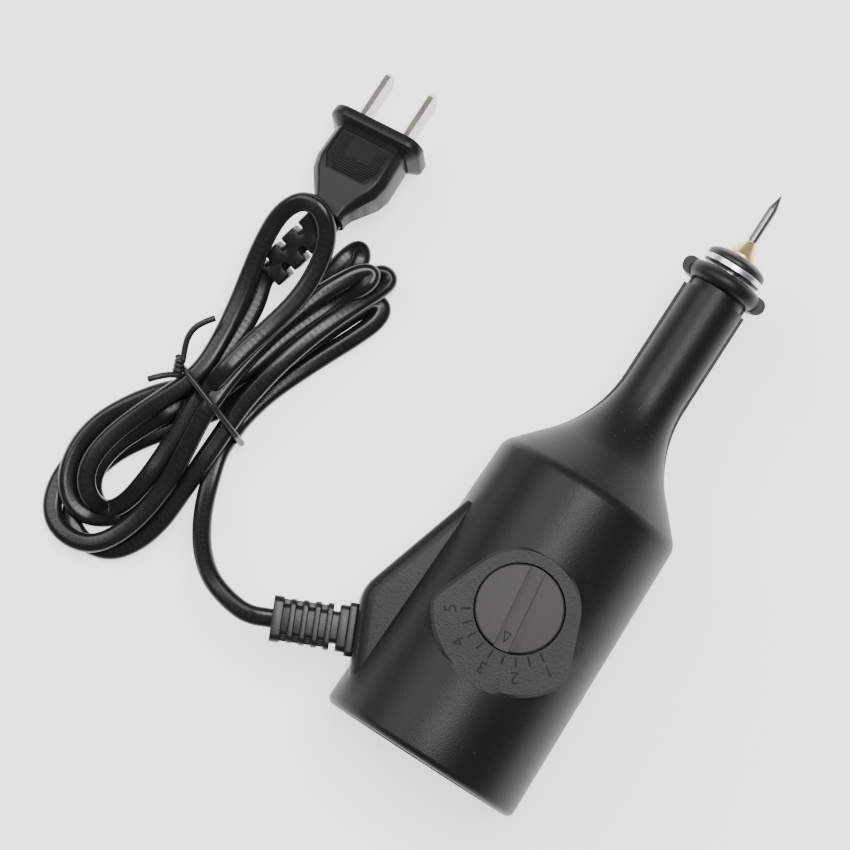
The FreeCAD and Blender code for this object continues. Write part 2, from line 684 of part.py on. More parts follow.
def hollow_hump(body, lower):
    """The hollow of the hump, open to the barrel, and half of the flex outlet."""
    hollow = sketch_on(body, "XY_Plane")
    drop = D.wall / D.exit_angle.cos()
    rise = (D.hump_peak_y - D.hump_front_y) / (D.hump_front_x - D.hump_peak_x)
    peak_y = D.hump_peak_y - D.wall * 1.09
    rear_inner = D.hump_peak_y - (D.hump_peak_x - D.chamber_rear) * FACE_SLOPE - drop
    add_outline(hollow, [
        (D.chamber_rear, D.chamber_root),
        (D.chamber_rear, rear_inner),
        (D.hump_peak_x, peak_y),
        (D.chamber_front, peak_y - (D.chamber_front - D.hump_peak_x) * rise),
        (D.chamber_front, D.chamber_root),
    ])
    extrude(body, "Pocket", hollow, D.hump_half_height - D.wall, reverse=not lower)
    outlet = sketch_on(body, "XY_Plane")
    half = D.relief_neck_y + D.fit_gap
    reach = D.wall * 3
    add_outline(outlet, [
        exit_point(-half, -reach), exit_point(half, -reach), exit_point(half, reach),
        exit_point(-half, reach),
    ])
    extrude(body, "Pocket", outlet, D.relief_neck_z + D.fit_gap, reverse=not lower)


def add_bosses(body, lower):
    """Screw bosses on the parting plane, with their holes."""
    sketch = sketch_on(body, "XY_Plane")
    for x, y in BOSS_PLACES:
        add_circle(sketch, x, y, D.boss_radius)
    extrude(body, "Pad", sketch, D.boss_depth if lower else D.boss_height, reverse=lower)
    if lower:
        trim_bosses(body)
    holes = sketch_on(body, "XY_Plane")
    for x, y in BOSS_PLACES:
        add_circle(holes, x, y, D.screw_hole if lower else D.screw_radius)
    depth = D.rear_radius if lower else D.screw_grip + D.safe_gap
    extrude(body, "Pocket", holes, depth, reverse=not lower)


def trim_bosses(body):
    """Cut the lower bosses back to the barrel's outside."""
    skin = D.slip / 2
    sketch = sketch_on(body, "XZ_Plane")
    add_outline(sketch, [
        (0, -(D.rear_radius + skin)), (D.shoulder_x, -(D.shoulder_radius + skin)),
        (D.shoulder_x, -(D.rear_radius + D.wall * 3)), (0, -(D.rear_radius + D.wall * 3)),
    ])
    groove = revolve(body, "Groove", sketch, angle=130.0)
    groove.Midplane = True


def upper_shell():
    body = new_body("upper_shell")
    add_hump(body, lower=False)
    add_skin(body, D.upper_neck_radius, D.upper_collar, lower=False)
    add_ribs(body, lower=False)
    hollow_hump(body, lower=False)
    add_bosses(body, lower=False)
    add_dial_flat(body)
    return keep(body)


def dial_outline(sketch, inset):
    """The flat's outline: a round front, a wider fan to the rear, joined by tangents.

    The corners between tangent and fan are rounded afterwards.
    """
    front = D.dial_front.value - inset
    fan = D.dial_fan.value - inset
    corner = D.dial_corner.value
    half = math.radians(D.dial_fan_half.value)
    centre = D.dial_x.value
    corner_reach = fan - corner
    corner_x = centre - corner_reach * math.cos(half)
    corner_y = corner_reach * math.sin(half)
    gap_x = centre - corner_x
    distance = math.hypot(gap_x, corner_y)
    tilt = math.atan2(corner_y, gap_x)
    open_angle = math.acos((front - corner) / distance)
    normal = math.pi - tilt - open_angle
    touch_front = Vector(centre + front * math.cos(normal), front * math.sin(normal), 0)
    touch_corner = Vector(
        corner_x + corner * math.cos(normal), corner_y + corner * math.sin(normal), 0
    )
    fan_end = Vector(centre - fan * math.cos(half), fan * math.sin(half), 0)
    middle_turn = (normal + math.pi - half) / 2
    corner_middle = Vector(
        corner_x + corner * math.cos(middle_turn), corner_y + corner * math.sin(middle_turn), 0
    )

    def mirror(point):
        return Vector(point.x, -point.y, 0)

    edges = [
        Part.Arc(touch_front, Vector(centre + front, 0, 0), mirror(touch_front)),
        Part.LineSegment(mirror(touch_front), mirror(touch_corner)),
        Part.Arc(mirror(touch_corner), mirror(corner_middle), mirror(fan_end)),
        Part.Arc(mirror(fan_end), Vector(centre - fan, 0, 0), fan_end),
        Part.Arc(fan_end, corner_middle, touch_corner),
        Part.LineSegment(touch_corner, touch_front),
    ]
    sketch.addGeometry(edges, False)


def add_dial_flat(body):
    """The flat round the dial, with its well, spindle hole and sunk scale marks."""
    base = WELL_BOTTOM - D.well_floor
    block = sketch_on(body, "XY_Plane", base)
    dial_outline(block, 0.0)
    extrude(body, "Pad", block, D.dial_plane - D.dial_bevel - base)
    bevel = sketch_on(body, "XY_Plane", D.dial_plane - D.dial_bevel)
    dial_outline(bevel, 0.0)
    extrude(body, "Pad", bevel, D.dial_bevel, taper=-40.0)
    crown = sketch_on(body, "XY_Plane", D.dial_plane)
    dial_outline(crown, 0.0)
    extrude(body, "Pocket", crown, D.crown_height, reverse=True)
    cavity = sketch_on(body, "XY_Plane", base)
    dial_outline(cavity, D.dial_deck.value)
    extrude(body, "Pocket", cavity, D.dial_plane - D.dial_deck - base, reverse=True)
    cup = sketch_on(body, "XY_Plane", base)
    add_circle(cup, D.dial_x, 0, WELL_RADIUS + D.well_wall)
    extrude(body, "Pad", cup, D.dial_plane - D.dial_deck / 2 - base)
    well = sketch_on(body, "XY_Plane", WELL_BOTTOM)
    add_circle(well, D.dial_x, 0, WELL_RADIUS)
    extrude(body, "Pocket", well, D.well_depth + D.crown_height, reverse=True)
    hole = sketch_on(body, "XY_Plane", WELL_BOTTOM - D.well_floor * 2)
    add_circle(hole, D.dial_x, 0, D.spindle_radius + D.slip)
    extrude(body, "Pocket", hole, D.well_floor * 4, reverse=True)
    marks = sketch_on(body, "XY_Plane", D.dial_plane)
    for step in range(-4, 5):
        turn = 180 + step * D.mark_pitch
        add_outline(marks, [
            dial_point(D.mark_inner, -D.mark_width / 2, turn),
            dial_point(D.mark_inner + D.mark_length, -D.mark_width / 2, turn),
            dial_point(D.mark_inner + D.mark_length, D.mark_width / 2, turn),
            dial_point(D.mark_inner, D.mark_width / 2, turn),
        ])
    extrude(body, "Pocket", marks, D.mark_depth)


def dial_point(outward, sideways, turn):
    """A point on the flat, measured outward from the dial axis in a given direction."""
    x = D.dial_x + outward * turn.cos() - sideways * turn.sin()
    y = outward * turn.sin() + sideways * turn.cos()
    return (x, y)


def lower_shell():
    body = new_body("lower_shell")
    add_hump(body, lower=True)
    add_skin(body, D.lower_neck_radius, D.lower_collar, lower=True)
    add_ribs(body, lower=True)
    hollow_hump(body, lower=True)
    add_bosses(body, lower=True)
    counterbores = sketch_on(body, "XY_Plane", -D.screw_seat)
    for x, y in BOSS_PLACES:
        add_circle(counterbores, x, y, D.counterbore)
    extrude(body, "Pocket", counterbores, D.rear_radius)
    posts = sketch_on(body, "XY_Plane", -D.core_stack / 2)
    for side in (1, -1):
        add_circle(posts, CORE_SCREW_X, D.core_screw_y * side, D.post_radius)
    extrude(body, "Pad", posts, D.post_depth - D.core_stack / 2, reverse=True)
    pilots = sketch_on(body, "XY_Plane", -D.core_stack / 2)
    for side in (1, -1):
        add_circle(pilots, CORE_SCREW_X, D.core_screw_y * side, D.screw_radius)
    extrude(body, "Pocket", pilots, D.screw_grip)
    return keep(body)


def housing_screws():
    """Six countersunk-seat screws from below, at the bosses."""
    master = screw("screw_pattern", D.screw_seat + D.screw_grip - D.safe_gap)
    places = [Vector(x.value, y.value, -D.screw_seat.value) for x, y in BOSS_PLACES]
    return repeated("housing_screws", master, places)


def screw(label, length):
    """A pan head screw standing on its seat at z = 0, thread upwards, with a cross recess."""
    master = turned(label, [
        (0, -D.screw_head_height),
        (D.screw_head, -D.screw_head_height),
        (D.screw_head, 0),
        (D.screw_radius, 0),
        (D.screw_radius, length),
        (0, length),
    ], axis="V_Axis", role="XZ_Plane")
    recess = sketch_on(master, "XY_Plane", -D.screw_head_height)
    arm = D.screw_head * 0.6
    slot = D.screw_head * 0.13
    add_outline(recess, [
        (-arm, -slot), (-slot, -slot), (-slot, -arm), (slot, -arm), (slot, -slot), (arm, -slot),
        (arm, slot), (slot, slot), (slot, arm), (-slot, arm), (-slot, slot), (-arm, slot),
    ])
    extrude(master, "Pocket", recess, D.screw_head_height / 2, reverse=True)
    return master


def rear_plate():
    body = turned("rear_plate", [
        (D.plate_sink, 0), (REAR_SEAT, 0), (REAR_SEAT, D.plate_radius),
        (D.plate_sink, D.plate_radius),
    ])
    round_edges(body, D.plate_thickness / 2, rim_test(D.plate_sink, D.plate_radius))
    return keep(body)


# ---------------------------------------------------------------------------------------------
# Electromagnet
# ---------------------------------------------------------------------------------------------

CORE_FRONT = D.core_x + D.core_length
CORE_SCREW_X = D.core_x + D.core_yoke / 2
BOBBIN_REAR = D.core_x + D.core_yoke + D.bobbin_gap
BOBBIN_FRONT = CORE_FRONT - D.bobbin_gap
BOBBIN_CORE_Y = D.core_leg / 2 + D.fit_gap + D.bobbin_wall
BOBBIN_CORE_Z = D.core_stack / 2 + D.fit_gap + D.bobbin_wall


def stator_core():
    """The E-shaped stack of iron sheets, with two screw holes through the yoke."""
    half = D.core_width / 2
    window = half - D.core_side_leg
    leg = D.core_leg / 2
    yoke = D.core_x + D.core_yoke
    body = new_body("stator_core")
    sketch = sketch_on(body, "XY_Plane")
    add_outline(sketch, [
        (D.core_x, -half), (CORE_FRONT, -half), (CORE_FRONT, -window), (yoke, -window),
        (yoke, -leg), (CORE_FRONT, -leg), (CORE_FRONT, leg), (yoke, leg),
        (yoke, window), (CORE_FRONT, window), (CORE_FRONT, half), (D.core_x, half),
    ])
    extrude(body, "Pad", sketch, D.core_stack, both=True)
    holes = sketch_on(body, "XY_Plane")
    for side in (1, -1):
        add_circle(holes, CORE_SCREW_X, D.core_screw_y * side, D.core_screw_hole)
    extrude(body, "Pocket", holes, D.core_stack * 2, both=True)
    return keep(body)


def core_screws():
    """Two screws from above, through the yoke into the lower shell's posts."""
    master = screw("core_screw_pattern", D.core_stack + D.screw_grip - D.safe_gap)
    doc.recompute()
    flipped = master.Shape.copy()
    copies = []
    for side in (1, -1):
        copy = flipped.copy()
        place = Vector(CORE_SCREW_X.value, side * D.core_screw_y.value, D.core_stack.value / 2)
        copy.Placement = Placement(place, Rotation(Vector(1, 0, 0), 180))
        copies.append(copy)
    return shape_node("core_screws", Part.makeCompound(copies), TOOL)


def coil_bobbin():
    body = new_body("coil_bobbin")
    tube = sketch_on(body, "YZ_Plane", BOBBIN_REAR)
    add_outline(tube, centred(BOBBIN_CORE_Y, BOBBIN_CORE_Z))
    extrude(body, "Pad", tube, BOBBIN_FRONT - BOBBIN_REAR)
    for x in (BOBBIN_REAR, BOBBIN_FRONT - D.bobbin_wall):
        flange = sketch_on(body, "YZ_Plane", x)
        add_outline(flange, centred(D.bobbin_half_y, D.bobbin_half_z))
        extrude(body, "Pad", flange, D.bobbin_wall)
    bore = sketch_on(body, "YZ_Plane", BOBBIN_REAR)
    add_outline(bore, centred(D.core_leg / 2 + D.fit_gap, D.core_stack / 2 + D.fit_gap))
    extrude(body, "Pocket", bore, BOBBIN_FRONT - BOBBIN_REAR, reverse=True)
    return keep(body)


def coil_winding():
    """The wound copper between the flanges, as one block round the bobbin."""
    rear = BOBBIN_REAR + D.bobbin_wall
    length = BOBBIN_FRONT - BOBBIN_REAR - D.bobbin_wall * 2
    body = new_body("coil_winding")
    outside = sketch_on(body, "YZ_Plane", rear)
    add_outline(
        outside, centred(D.bobbin_half_y - D.winding_step, D.bobbin_half_z - D.winding_step)
    )
    extrude(body, "Pad", outside, length)
    corner_y = (D.bobbin_half_y - D.winding_step).value

    def corner_edge(edge, middle):
        along = abs(edge.tangentAt(edge.FirstParameter).x) > 0.9
        return along and abs(abs(middle.y) - corner_y) < 0.01

    round_edges(body, D.bobbin_wall * 2, corner_edge)
    inside = sketch_on(body, "YZ_Plane", rear)
    add_outline(inside, centred(BOBBIN_CORE_Y, BOBBIN_CORE_Z))
    extrude(body, "Pocket", inside, length, reverse=True)
    return keep(body)


def coil_terminals():
    """Two pins on the bobbin's front flange."""
    x = (BOBBIN_FRONT - D.bobbin_wall / 2).value
    pins = []
    for side in (1, -1):
        foot = Vector(x, side * D.terminal_y.value, D.bobbin_half_z.value)
        pins.append(Part.makeCylinder(D.terminal_radius.value, D.terminal_height.value, foot))
    return shape_node("coil_terminals", Part.makeCompound(pins), TOOL)


# ---------------------------------------------------------------------------------------------
# Moving train: armature, rod, nose pieces, chuck and tip
# ---------------------------------------------------------------------------------------------

ARMATURE_X = CORE_FRONT + D.pole_gap
STOP_X = D.dial_x + D.cam_radius + D.cam_reach + D.cam_gap
BOOT_X = WASHER_X + D.washer_thickness
NUT_X = BOOT_X + D.boot_floor + D.safe_gap


def armature():
    body = new_body("armature")
    plate = sketch_on(body, "YZ_Plane", ARMATURE_X)
    add_outline(plate, centred(D.armature_half_y, D.core_stack / 2))
    extrude(body, "Pad", plate, D.armature_thickness)
    bore = sketch_on(body, "YZ_Plane", ARMATURE_X)
    add_circle(bore, 0, 0, D.rod_radius)
    extrude(body, "Pocket", bore, D.armature_thickness, reverse=True)
    return keep(body)


def drive_rod():
    hole = D.shank_radius + D.slip
    bottom = ROD_END - D.tip_hole
    return keep(turned("drive_rod", [
        (ARMATURE_X, 0), (bottom, 0), (bottom, hole), (ROD_END, hole),
        (ROD_END, D.rod_radius), (ARMATURE_X, D.rod_radius),
    ]))


def stop_collar():
    return keep(turned("stop_collar", ring(
        STOP_X, STOP_X + D.stop_thickness, D.rod_radius, D.stop_radius
    )))


def spring_seat():
    return keep(turned("spring_seat", ring(
        D.seat_x, D.seat_x + D.seat_thickness, D.rod_radius, D.seat_radius
    )))


def nose_washer():
    body = turned("nose_washer", ring(
        WASHER_X, BOOT_X, D.rod_radius, D.washer_radius
    ))
    round_edges(body, D.fit_gap * 3, rim_test(WASHER_X, D.washer_radius))
    return keep(body)


def nose_boot():
    """The rubber dome in front of the washer, recessed round the chuck nut."""
    front = BOOT_X + D.boot_length
    floor = BOOT_X + D.boot_floor
    body = turned("nose_boot", [
        (BOOT_X, D.rod_radius), (floor, D.rod_radius), (floor, D.boot_recess),
        (front, D.boot_recess), (front, D.boot_front),
        (front - D.boot_length * 0.28, D.boot_front + (D.washer_radius - D.boot_front) * 0.6),
        (front - D.boot_length * 0.62, D.washer_radius),
        (BOOT_X, D.washer_radius),
    ])
    return keep(body)


def collet():
    """Split collet between the rod's end and the nut."""
    rear = ROD_END
    front = ROD_END + D.collet_length
    body = turned("collet", ring(rear, front, D.shank_radius + D.slip, D.collet_radius))
    half = D.collet_slit / 2
    for wide, high in ((half, D.collet_radius * 2), (D.collet_radius * 2, half)):
        slit = sketch_on(body, "YZ_Plane", rear + D.collet_root)
        add_outline(slit, centred(wide, high))
        extrude(body, "Pocket", slit, D.collet_length, reverse=True)
    return keep(body)


def chuck_nut():
    """The brass cone that closes the collet, screwed on the rod's end."""
    shoulder = ROD_END + D.slip * 2
    pocket_end = ROD_END + D.collet_length + D.slip * 2
    front = NUT_X + D.nut_length
    body = turned("chuck_nut", [
        (NUT_X, D.rod_radius + D.slip), (shoulder, D.rod_radius + D.slip),
        (shoulder, D.collet_radius + D.slip), (pocket_end, D.collet_radius + D.slip),
        (pocket_end, D.shank_radius + D.slip), (front, D.shank_radius + D.slip),
        (front, D.nut_front), (NUT_X + D.nut_band, D.nut_radius), (NUT_X, D.nut_radius),
    ])
    return keep(body)


def engraving_tip():
    """The tip: a shank in the chuck, a thicker shaft in front of the nut and a point."""
    start = ROD_END - D.tip_hole + D.tip_play
    step = NOSE_X + D.shank_end
    shoulder = NOSE_X + D.tip_shoulder
    end = NOSE_X + D.tip_end
    return keep(turned("engraving_tip", [
        (start, 0), (end, 0), (end, D.tip_flat), (shoulder, D.tip_radius),
        (step, D.tip_radius), (step, D.shank_radius), (start, D.shank_radius),
    ]))


def rear_guide():
    return keep(turned("rear_guide", ring(
        D.guide_x, D.guide_x + D.guide_length, D.rod_radius + D.slip, D.guide_radius
    )))


def rubber_buffer():
    return keep(turned("rubber_buffer", ring(
        D.buffer_x, BULKHEAD_X, D.bulkhead_bore, D.buffer_radius
    )))


def front_bush():
    front = NOSE_X - D.bush_sink
    return keep(turned("front_bush", ring(
        front - D.bush_length, front, D.rod_radius + D.slip, D.neck_bore
    )))


def return_spring():
    """Round-wire compression spring on the rod, resting against the seat."""
    wire = D.spring_wire.value
    turns = D.spring_turns.value
    rear = D.guide_x.value + D.guide_length.value + wire + (D.cam_gap + D.safe_gap).value * 2
    front = D.seat_x.value - wire
    pitch = (front - rear) / turns
    radius = D.spring_radius.value
    helix = Part.makeHelix(pitch, front - rear, radius)
    start = helix.Edges[0].valueAt(helix.Edges[0].FirstParameter)
    tangent = helix.Edges[0].tangentAt(helix.Edges[0].FirstParameter)
    circle = Part.Wire(Part.Circle(start, tangent, wire).toShape())
    coil = Part.Wire(helix.Edges).makePipeShell([circle], True, True)
    coil.Placement = Placement(Vector(rear, 0, 0), Rotation(Vector(0, 1, 0), 90))
    return shape_node("return_spring", Part.makeCompound([coil]), TOOL)


# ---------------------------------------------------------------------------------------------
# Dial
# ---------------------------------------------------------------------------------------------

KNOB_TOP = D.dial_plane + D.knob_proud
KNOB_BOTTOM = WELL_BOTTOM + D.dial_washer_thickness + D.safe_gap
SPINDLE_TOP = KNOB_BOTTOM + D.spindle_seat


def dial_knob():
    """Slotted knob with a triangle that points along the slot."""
    body = turned("dial_knob", [
        (0, SPINDLE_TOP), (D.spindle_radius, SPINDLE_TOP), (D.spindle_radius, KNOB_BOTTOM),
        (D.knob_radius, KNOB_BOTTOM), (D.knob_radius, KNOB_TOP), (0, KNOB_TOP),
    ], axis="V_Axis", role="XZ_Plane")
    top = KNOB_TOP.value

    def top_rim(edge, middle):
        return abs(middle.z - top) < 0.01

    round_edges(body, D.knob_edge_round, top_rim)
    slot = sketch_on(body, "XY_Plane", KNOB_TOP)
    add_outline(slot, centred(D.knob_radius * 1.2, D.knob_slot / 2))
    extrude(body, "Pocket", slot, D.knob_slot_depth)
    pointer = sketch_on(body, "XY_Plane", KNOB_TOP - D.knob_slot_depth)
    tip = D.knob_radius - D.knob_slot / 2
    half = D.pointer_width / 2
    add_outline(
        pointer, [(tip, 0), (tip - D.pointer_length, half), (tip - D.pointer_length, -half)]
    )
    extrude(body, "Pad", pointer, D.pointer_height)
    turn = Placement(Vector(), Rotation(Vector(0, 0, 1), D.pointer_angle.value))
    return keep(body, DIAL * turn)


def dial_spindle():
    """The spindle with the eccentric cam that sets the stroke."""
    body = new_body("dial_spindle")
    cam = sketch_on(body, "XY_Plane", D.cam_bottom)
    add_circle(cam, D.cam_offset * D.cam_angle.cos(), D.cam_offset * D.cam_angle.sin(),
               D.cam_radius)
    extrude(body, "Pad", cam, D.cam_height)
    shaft = sketch_on(body, "XY_Plane", D.cam_bottom)
    add_circle(shaft, 0, 0, D.spindle_radius)
    extrude(body, "Pad", shaft, SPINDLE_TOP - D.cam_bottom)
    return keep(body, DIAL)


def dial_washer():
    body = turned("dial_washer", ring(
        D.dial_washer_inner, D.dial_washer_outer, WELL_BOTTOM,
        WELL_BOTTOM + D.dial_washer_thickness,
    ), axis="V_Axis", role="XZ_Plane")
    return keep(body, DIAL)


def dial_clip():
    top = WELL_BOTTOM - D.well_floor - D.safe_gap
    body = turned("dial_clip", ring(
        D.spindle_radius, D.clip_radius, top - D.clip_thickness, top
    ), axis="V_Axis", role="XZ_Plane")
    return keep(body, DIAL)


# ---------------------------------------------------------------------------------------------
# Wiring, flex and plug
# ---------------------------------------------------------------------------------------------

EXIT = Placement(
    Vector(D.exit_x.value, EXIT_Y.value, 0), Rotation(Vector(0, 0, 1), 90 + D.exit_angle.value)
)


def slab(body, start, length, half_y, half_z):
    """A rectangular block along X."""
    face = sketch_on(body, "YZ_Plane", start)
    add_outline(face, centred(half_y, half_z))
    extrude(body, "Pad", face, length)


def strain_relief():
    """Ribbed rubber sleeve through the hump's end face; X points out of the hump."""
    body = new_body("strain_relief")
    head_start = -(D.wall + D.fit_gap + D.relief_head_length)
    slab(body, head_start, D.relief_head_length, D.relief_head_y, D.relief_head_z)
    slab(body, -(D.wall + D.fit_gap), D.wall + D.fit_gap * 2, D.relief_neck_y, D.relief_neck_z)
    slab(body, D.fit_gap, D.relief_flange, D.relief_flange_y, D.relief_flange_z)
    step = D.fit_gap + D.relief_flange
    slab(body, step, D.relief_step, D.relief_step_y, D.relief_step_z)
    core_start = step + D.relief_step
    slab(body, core_start, D.relief_length - core_start, D.relief_core_y, D.relief_core_z)
    for rib in range(4):
        start = D.relief_rib_start + D.relief_pitch * rib
        slab(body, start, D.relief_rib, D.relief_step_y, D.relief_step_z)
    last = D.relief_length - D.relief_end_rib
    slab(body, last, D.relief_end_rib, D.relief_step_y, D.relief_step_z)
    return keep(body, TOOL * EXIT)


def smooth_path(points, show=None):
    """Straight runs through the points, joined by arcs as large as the two runs allow."""
    points = [Vector(*point) for point in points]
    edges = []
    reached = points[0]
    radii = []
    for before, corner, after in zip(points, points[1:], points[2:]):
        into = corner - before
        out = after - corner
        cut = 0.45 * min(into.Length, out.Length)
        turn = into.getAngle(out)
        radii.append(round(cut / math.tan(turn / 2), 1))
        into.normalize()
        out.normalize()
        first = corner - into * cut
        last = corner + out * cut
        inward = out - into
        inward.normalize()
        sag = cut * (1 / math.cos(turn / 2) - 1) / math.tan(turn / 2)
        middle = corner + inward * sag
        edges.append(Part.LineSegment(reached, first).toShape())
        edges.append(Part.Arc(first, middle, last).toShape())
        reached = last
    edges.append(Part.LineSegment(reached, points[-1]).toShape())
    if show:
        print(show, "radii of the bends:", radii)
    return Part.Wire(edges)


def tube(points, radius, show=None):
    """A round cord along a path, with its volume compared with section times length."""
    path = smooth_path(points, show)
    start = Vector(*points[0])
    heading = Vector(*points[1]) - start
    section = Part.Wire(Part.Circle(start, heading, radius).toShape())
    solid = path.makePipeShell([section], True, False)
    expected = math.pi * radius * radius * path.Length
    if abs(solid.Volume / expected - 1) > 0.02:
        raise RuntimeError(f"tube volume {solid.Volume:.1f}, expected {expected:.1f}")
    if show:
        print(show, "length:", round(path.Length, 1))
    return solid


def inner_point(outward, sideways, height):
    """A point inside the hump, measured from the outlet."""
    return tuple(EXIT.multVec(Vector(outward, sideways, height)))


def lead_wires():
    """Four inner leads: outlet to crimped joints, and joints to the coil's terminals."""
    radius = D.wire_radius.value
    head = -(D.wall + D.fit_gap + D.relief_head_length).value
    joint_end = (D.crimp_x + D.crimp_length).value
    pin_x = (BOBBIN_FRONT - D.bobbin_wall / 2).value
    pin_top = D.bobbin_half_z.value + D.terminal_height.value / 2
    leads = []
    for side in (1, -1):
        height = side * D.crimp_z.value
        sideways = side * 2.0
        leads.append(tube([
            inner_point(head, sideways, side * 1.0),
            inner_point(head - 1.6, sideways, side * 1.0),
            (D.crimp_x.value - 2.0, D.crimp_y.value, height),
            (D.crimp_x.value, D.crimp_y.value, height),
        ], radius))
    over = D.core_stack.value
    near = pin_x + D.terminal_radius.value + radius + 0.1
    climbs = (
        (1, 42.0, [(42.6, 20.6, 9.4), (38.4, 13.5, over + 0.2), (34.6, 6.4, pin_top)]),
        (-1, 44.4, [(45.0, 20.4, 9.2), (40.6, 10.5, over + 0.3), (37.0, -3.0, over), ]),
    )
    for side, turn_x, climb in climbs:
        height = side * D.crimp_z.value
        leads.append(tube([
            (joint_end, D.crimp_y.value, height),
            (turn_x, D.crimp_y.value, height),
            *climb,
            (near, side * D.terminal_y.value, pin_top),
        ], radius))
    return shape_node("lead_wires", Part.makeCompound(leads), TOOL)


def wire_joints():
    """Two crimped closed-end joints in the hump's hollow."""
    joints = []
    for side in (1, -1):
        foot = Vector(D.crimp_x.value, D.crimp_y.value, side * D.crimp_z.value)
        joints.append(
            Part.makeCylinder(D.crimp_radius.value, D.crimp_length.value, foot, Vector(1, 0, 0))
        )
    return shape_node("wire_joints", Part.makeCompound(joints), TOOL)


def plug_placement():
    """The plug's front face, blades down a little and rolled on its flange's corner."""
    place = Vector(D.plug_x.value, D.plug_y.value, D.plug_z.value)
    pitch = Rotation(Vector(0, 1, 0), D.plug_pitch.value)
    roll = Rotation(Vector(1, 0, 0), D.plug_roll.value)
    return Placement(place, pitch * roll)


PLUG = plug_placement()
GRIP_END = -(D.flange_thickness + D.grip_length + D.taper_length + D.plug_neck)


def plug_grip():
    """Flange, grip and neck of the plug; X points out of the front face."""
    body = new_body("plug_grip")
    flange = sketch_on(body, "YZ_Plane", -D.flange_thickness)
    add_outline(flange, centred(D.flange_half_y, D.flange_half_z))
    extrude(body, "Pad", flange, D.flange_thickness)
    half = D.flange_half_y.value

    def corner_edge(edge, middle):
        along = abs(edge.tangentAt(edge.FirstParameter).x) > 0.9
        return along and abs(abs(middle.y) - half) < 0.01

    round_edges(body, D.flange_corner, corner_edge)
    grip_rear = -(D.flange_thickness + D.grip_length)
    slab(body, grip_rear, D.grip_length, D.grip_half_y, D.grip_half_z)
    taper_rear = grip_rear - D.taper_length
    wide = sketch_on(body, "YZ_Plane", grip_rear)
    add_outline(wide, centred(D.grip_half_y, D.grip_half_z))
    narrow = sketch_on(body, "YZ_Plane", taper_rear)
    add_outline(narrow, centred(D.plug_neck_y, D.plug_neck_z))
    loft = body.newObject("PartDesign::AdditiveLoft", "plug_taper")
    loft.Profile = wide
    loft.Sections = [narrow]
    loft.Ruled = True
    body.Tip = loft
    slab(body, GRIP_END, D.plug_neck, D.plug_neck_y, D.plug_neck_z)
    panel = sketch_on(body, "XY_Plane", D.grip_half_z)
    panel_front = -(D.flange_thickness + D.wall / 2)
    add_outline(panel, rectangle(
        panel_front - D.panel_length, panel_front, -D.panel_half_y, D.panel_half_y
    ))
    extrude(body, "Pocket", panel, D.panel_depth)
    seats = sketch_on(body, "YZ_Plane", -D.insert_x)
    add_outline(seats, centred(D.insert_half_y, D.insert_half_z))
    extrude(body, "Pocket", seats, D.insert_thickness)
    slots = sketch_on(body, "YZ_Plane")
    for side in (1, -1):
        middle = D.blade_spacing / 2 * side
        add_outline(slots, rectangle(
            middle - D.blade_thickness / 2, middle + D.blade_thickness / 2,
            -D.blade_height / 2, D.blade_height / 2,
        ))
    extrude(body, "Pocket", slots, D.blade_root)
    body.Placement = PLUG
    return body


def plug_insert():
    """The hard plastic block inside the plug that holds the blades."""
    body = new_body("plug_insert")
    slab(body, -(D.insert_x + D.insert_thickness), D.insert_thickness,
         D.insert_half_y, D.insert_half_z)
    slots = sketch_on(body, "YZ_Plane", -D.insert_x)
    for side in (1, -1):
        middle = D.blade_spacing / 2 * side
        add_outline(slots, rectangle(
            middle - D.blade_thickness / 2, middle + D.blade_thickness / 2,
            -D.blade_height / 2, D.blade_height / 2,
        ))
    extrude(body, "Pocket", slots, D.insert_thickness)
    return keep(body, PLUG)


def plug_blades():
    """Two flat blades with bevelled ends."""
    master = new_body("blade_pattern")
    slab(master, -D.blade_root, D.blade_root + D.blade_length,
         D.blade_thickness / 2, D.blade_height / 2)
    end = D.blade_length.value

    def end_edge(edge, middle):
        return abs(middle.x - end) < 0.01 and abs(middle.y) < 0.01

    round_edges(master, D.blade_chamfer, end_edge, kind="Chamfer")
    places = [Vector(0, side * D.blade_spacing.value / 2, 0) for side in (1, -1)]
    return repeated("plug_blades", master, places, PLUG)


def sleeve_placement():
    """The sleeve leaves the plug's neck sideways and slopes down into the hank."""
    neck = PLUG.multVec(Vector(GRIP_END.value, 0, 0))
    turn = Rotation(Vector(0, 0, 1), D.sleeve_turn.value)
    drop = Rotation(Vector(0, 1, 0), D.sleeve_drop.value)
    return Placement(neck, turn * drop)


def plug_sleeve():
    """Flexible sleeve with notches cut from alternate sides; X points away from the plug."""
    body = new_body("plug_sleeve")
    slab(body, 0, D.sleeve_length, D.sleeve_half_y, D.sleeve_half_z)
    notches = sketch_on(body, "XY_Plane")
    for step in range(3):
        for side, shift in ((1, 0.0), (-1, 0.5)):
            start = D.sleeve_notch_width + D.sleeve_pitch * (step + shift)
            inner = (D.sleeve_half_y - D.sleeve_notch) * side
            outer = (D.sleeve_half_y + D.fit_gap) * side
            add_outline(notches, rectangle(start, start + D.sleeve_notch_width, inner, outer))
    extrude(body, "Pocket", notches, D.sleeve_half_z * 3, both=True)
    body.Placement = sleeve_placement()
    return body


def plug_body():
    """The plug and its sleeve, moulded on the flex as one piece."""
    whole = doc.addObject("Part::Fuse", "plug_moulding")
    whole.Base = plug_grip()
    whole.Tool = plug_sleeve()
    whole.Label = "plug_body"
    NODES.append(whole)
    return whole


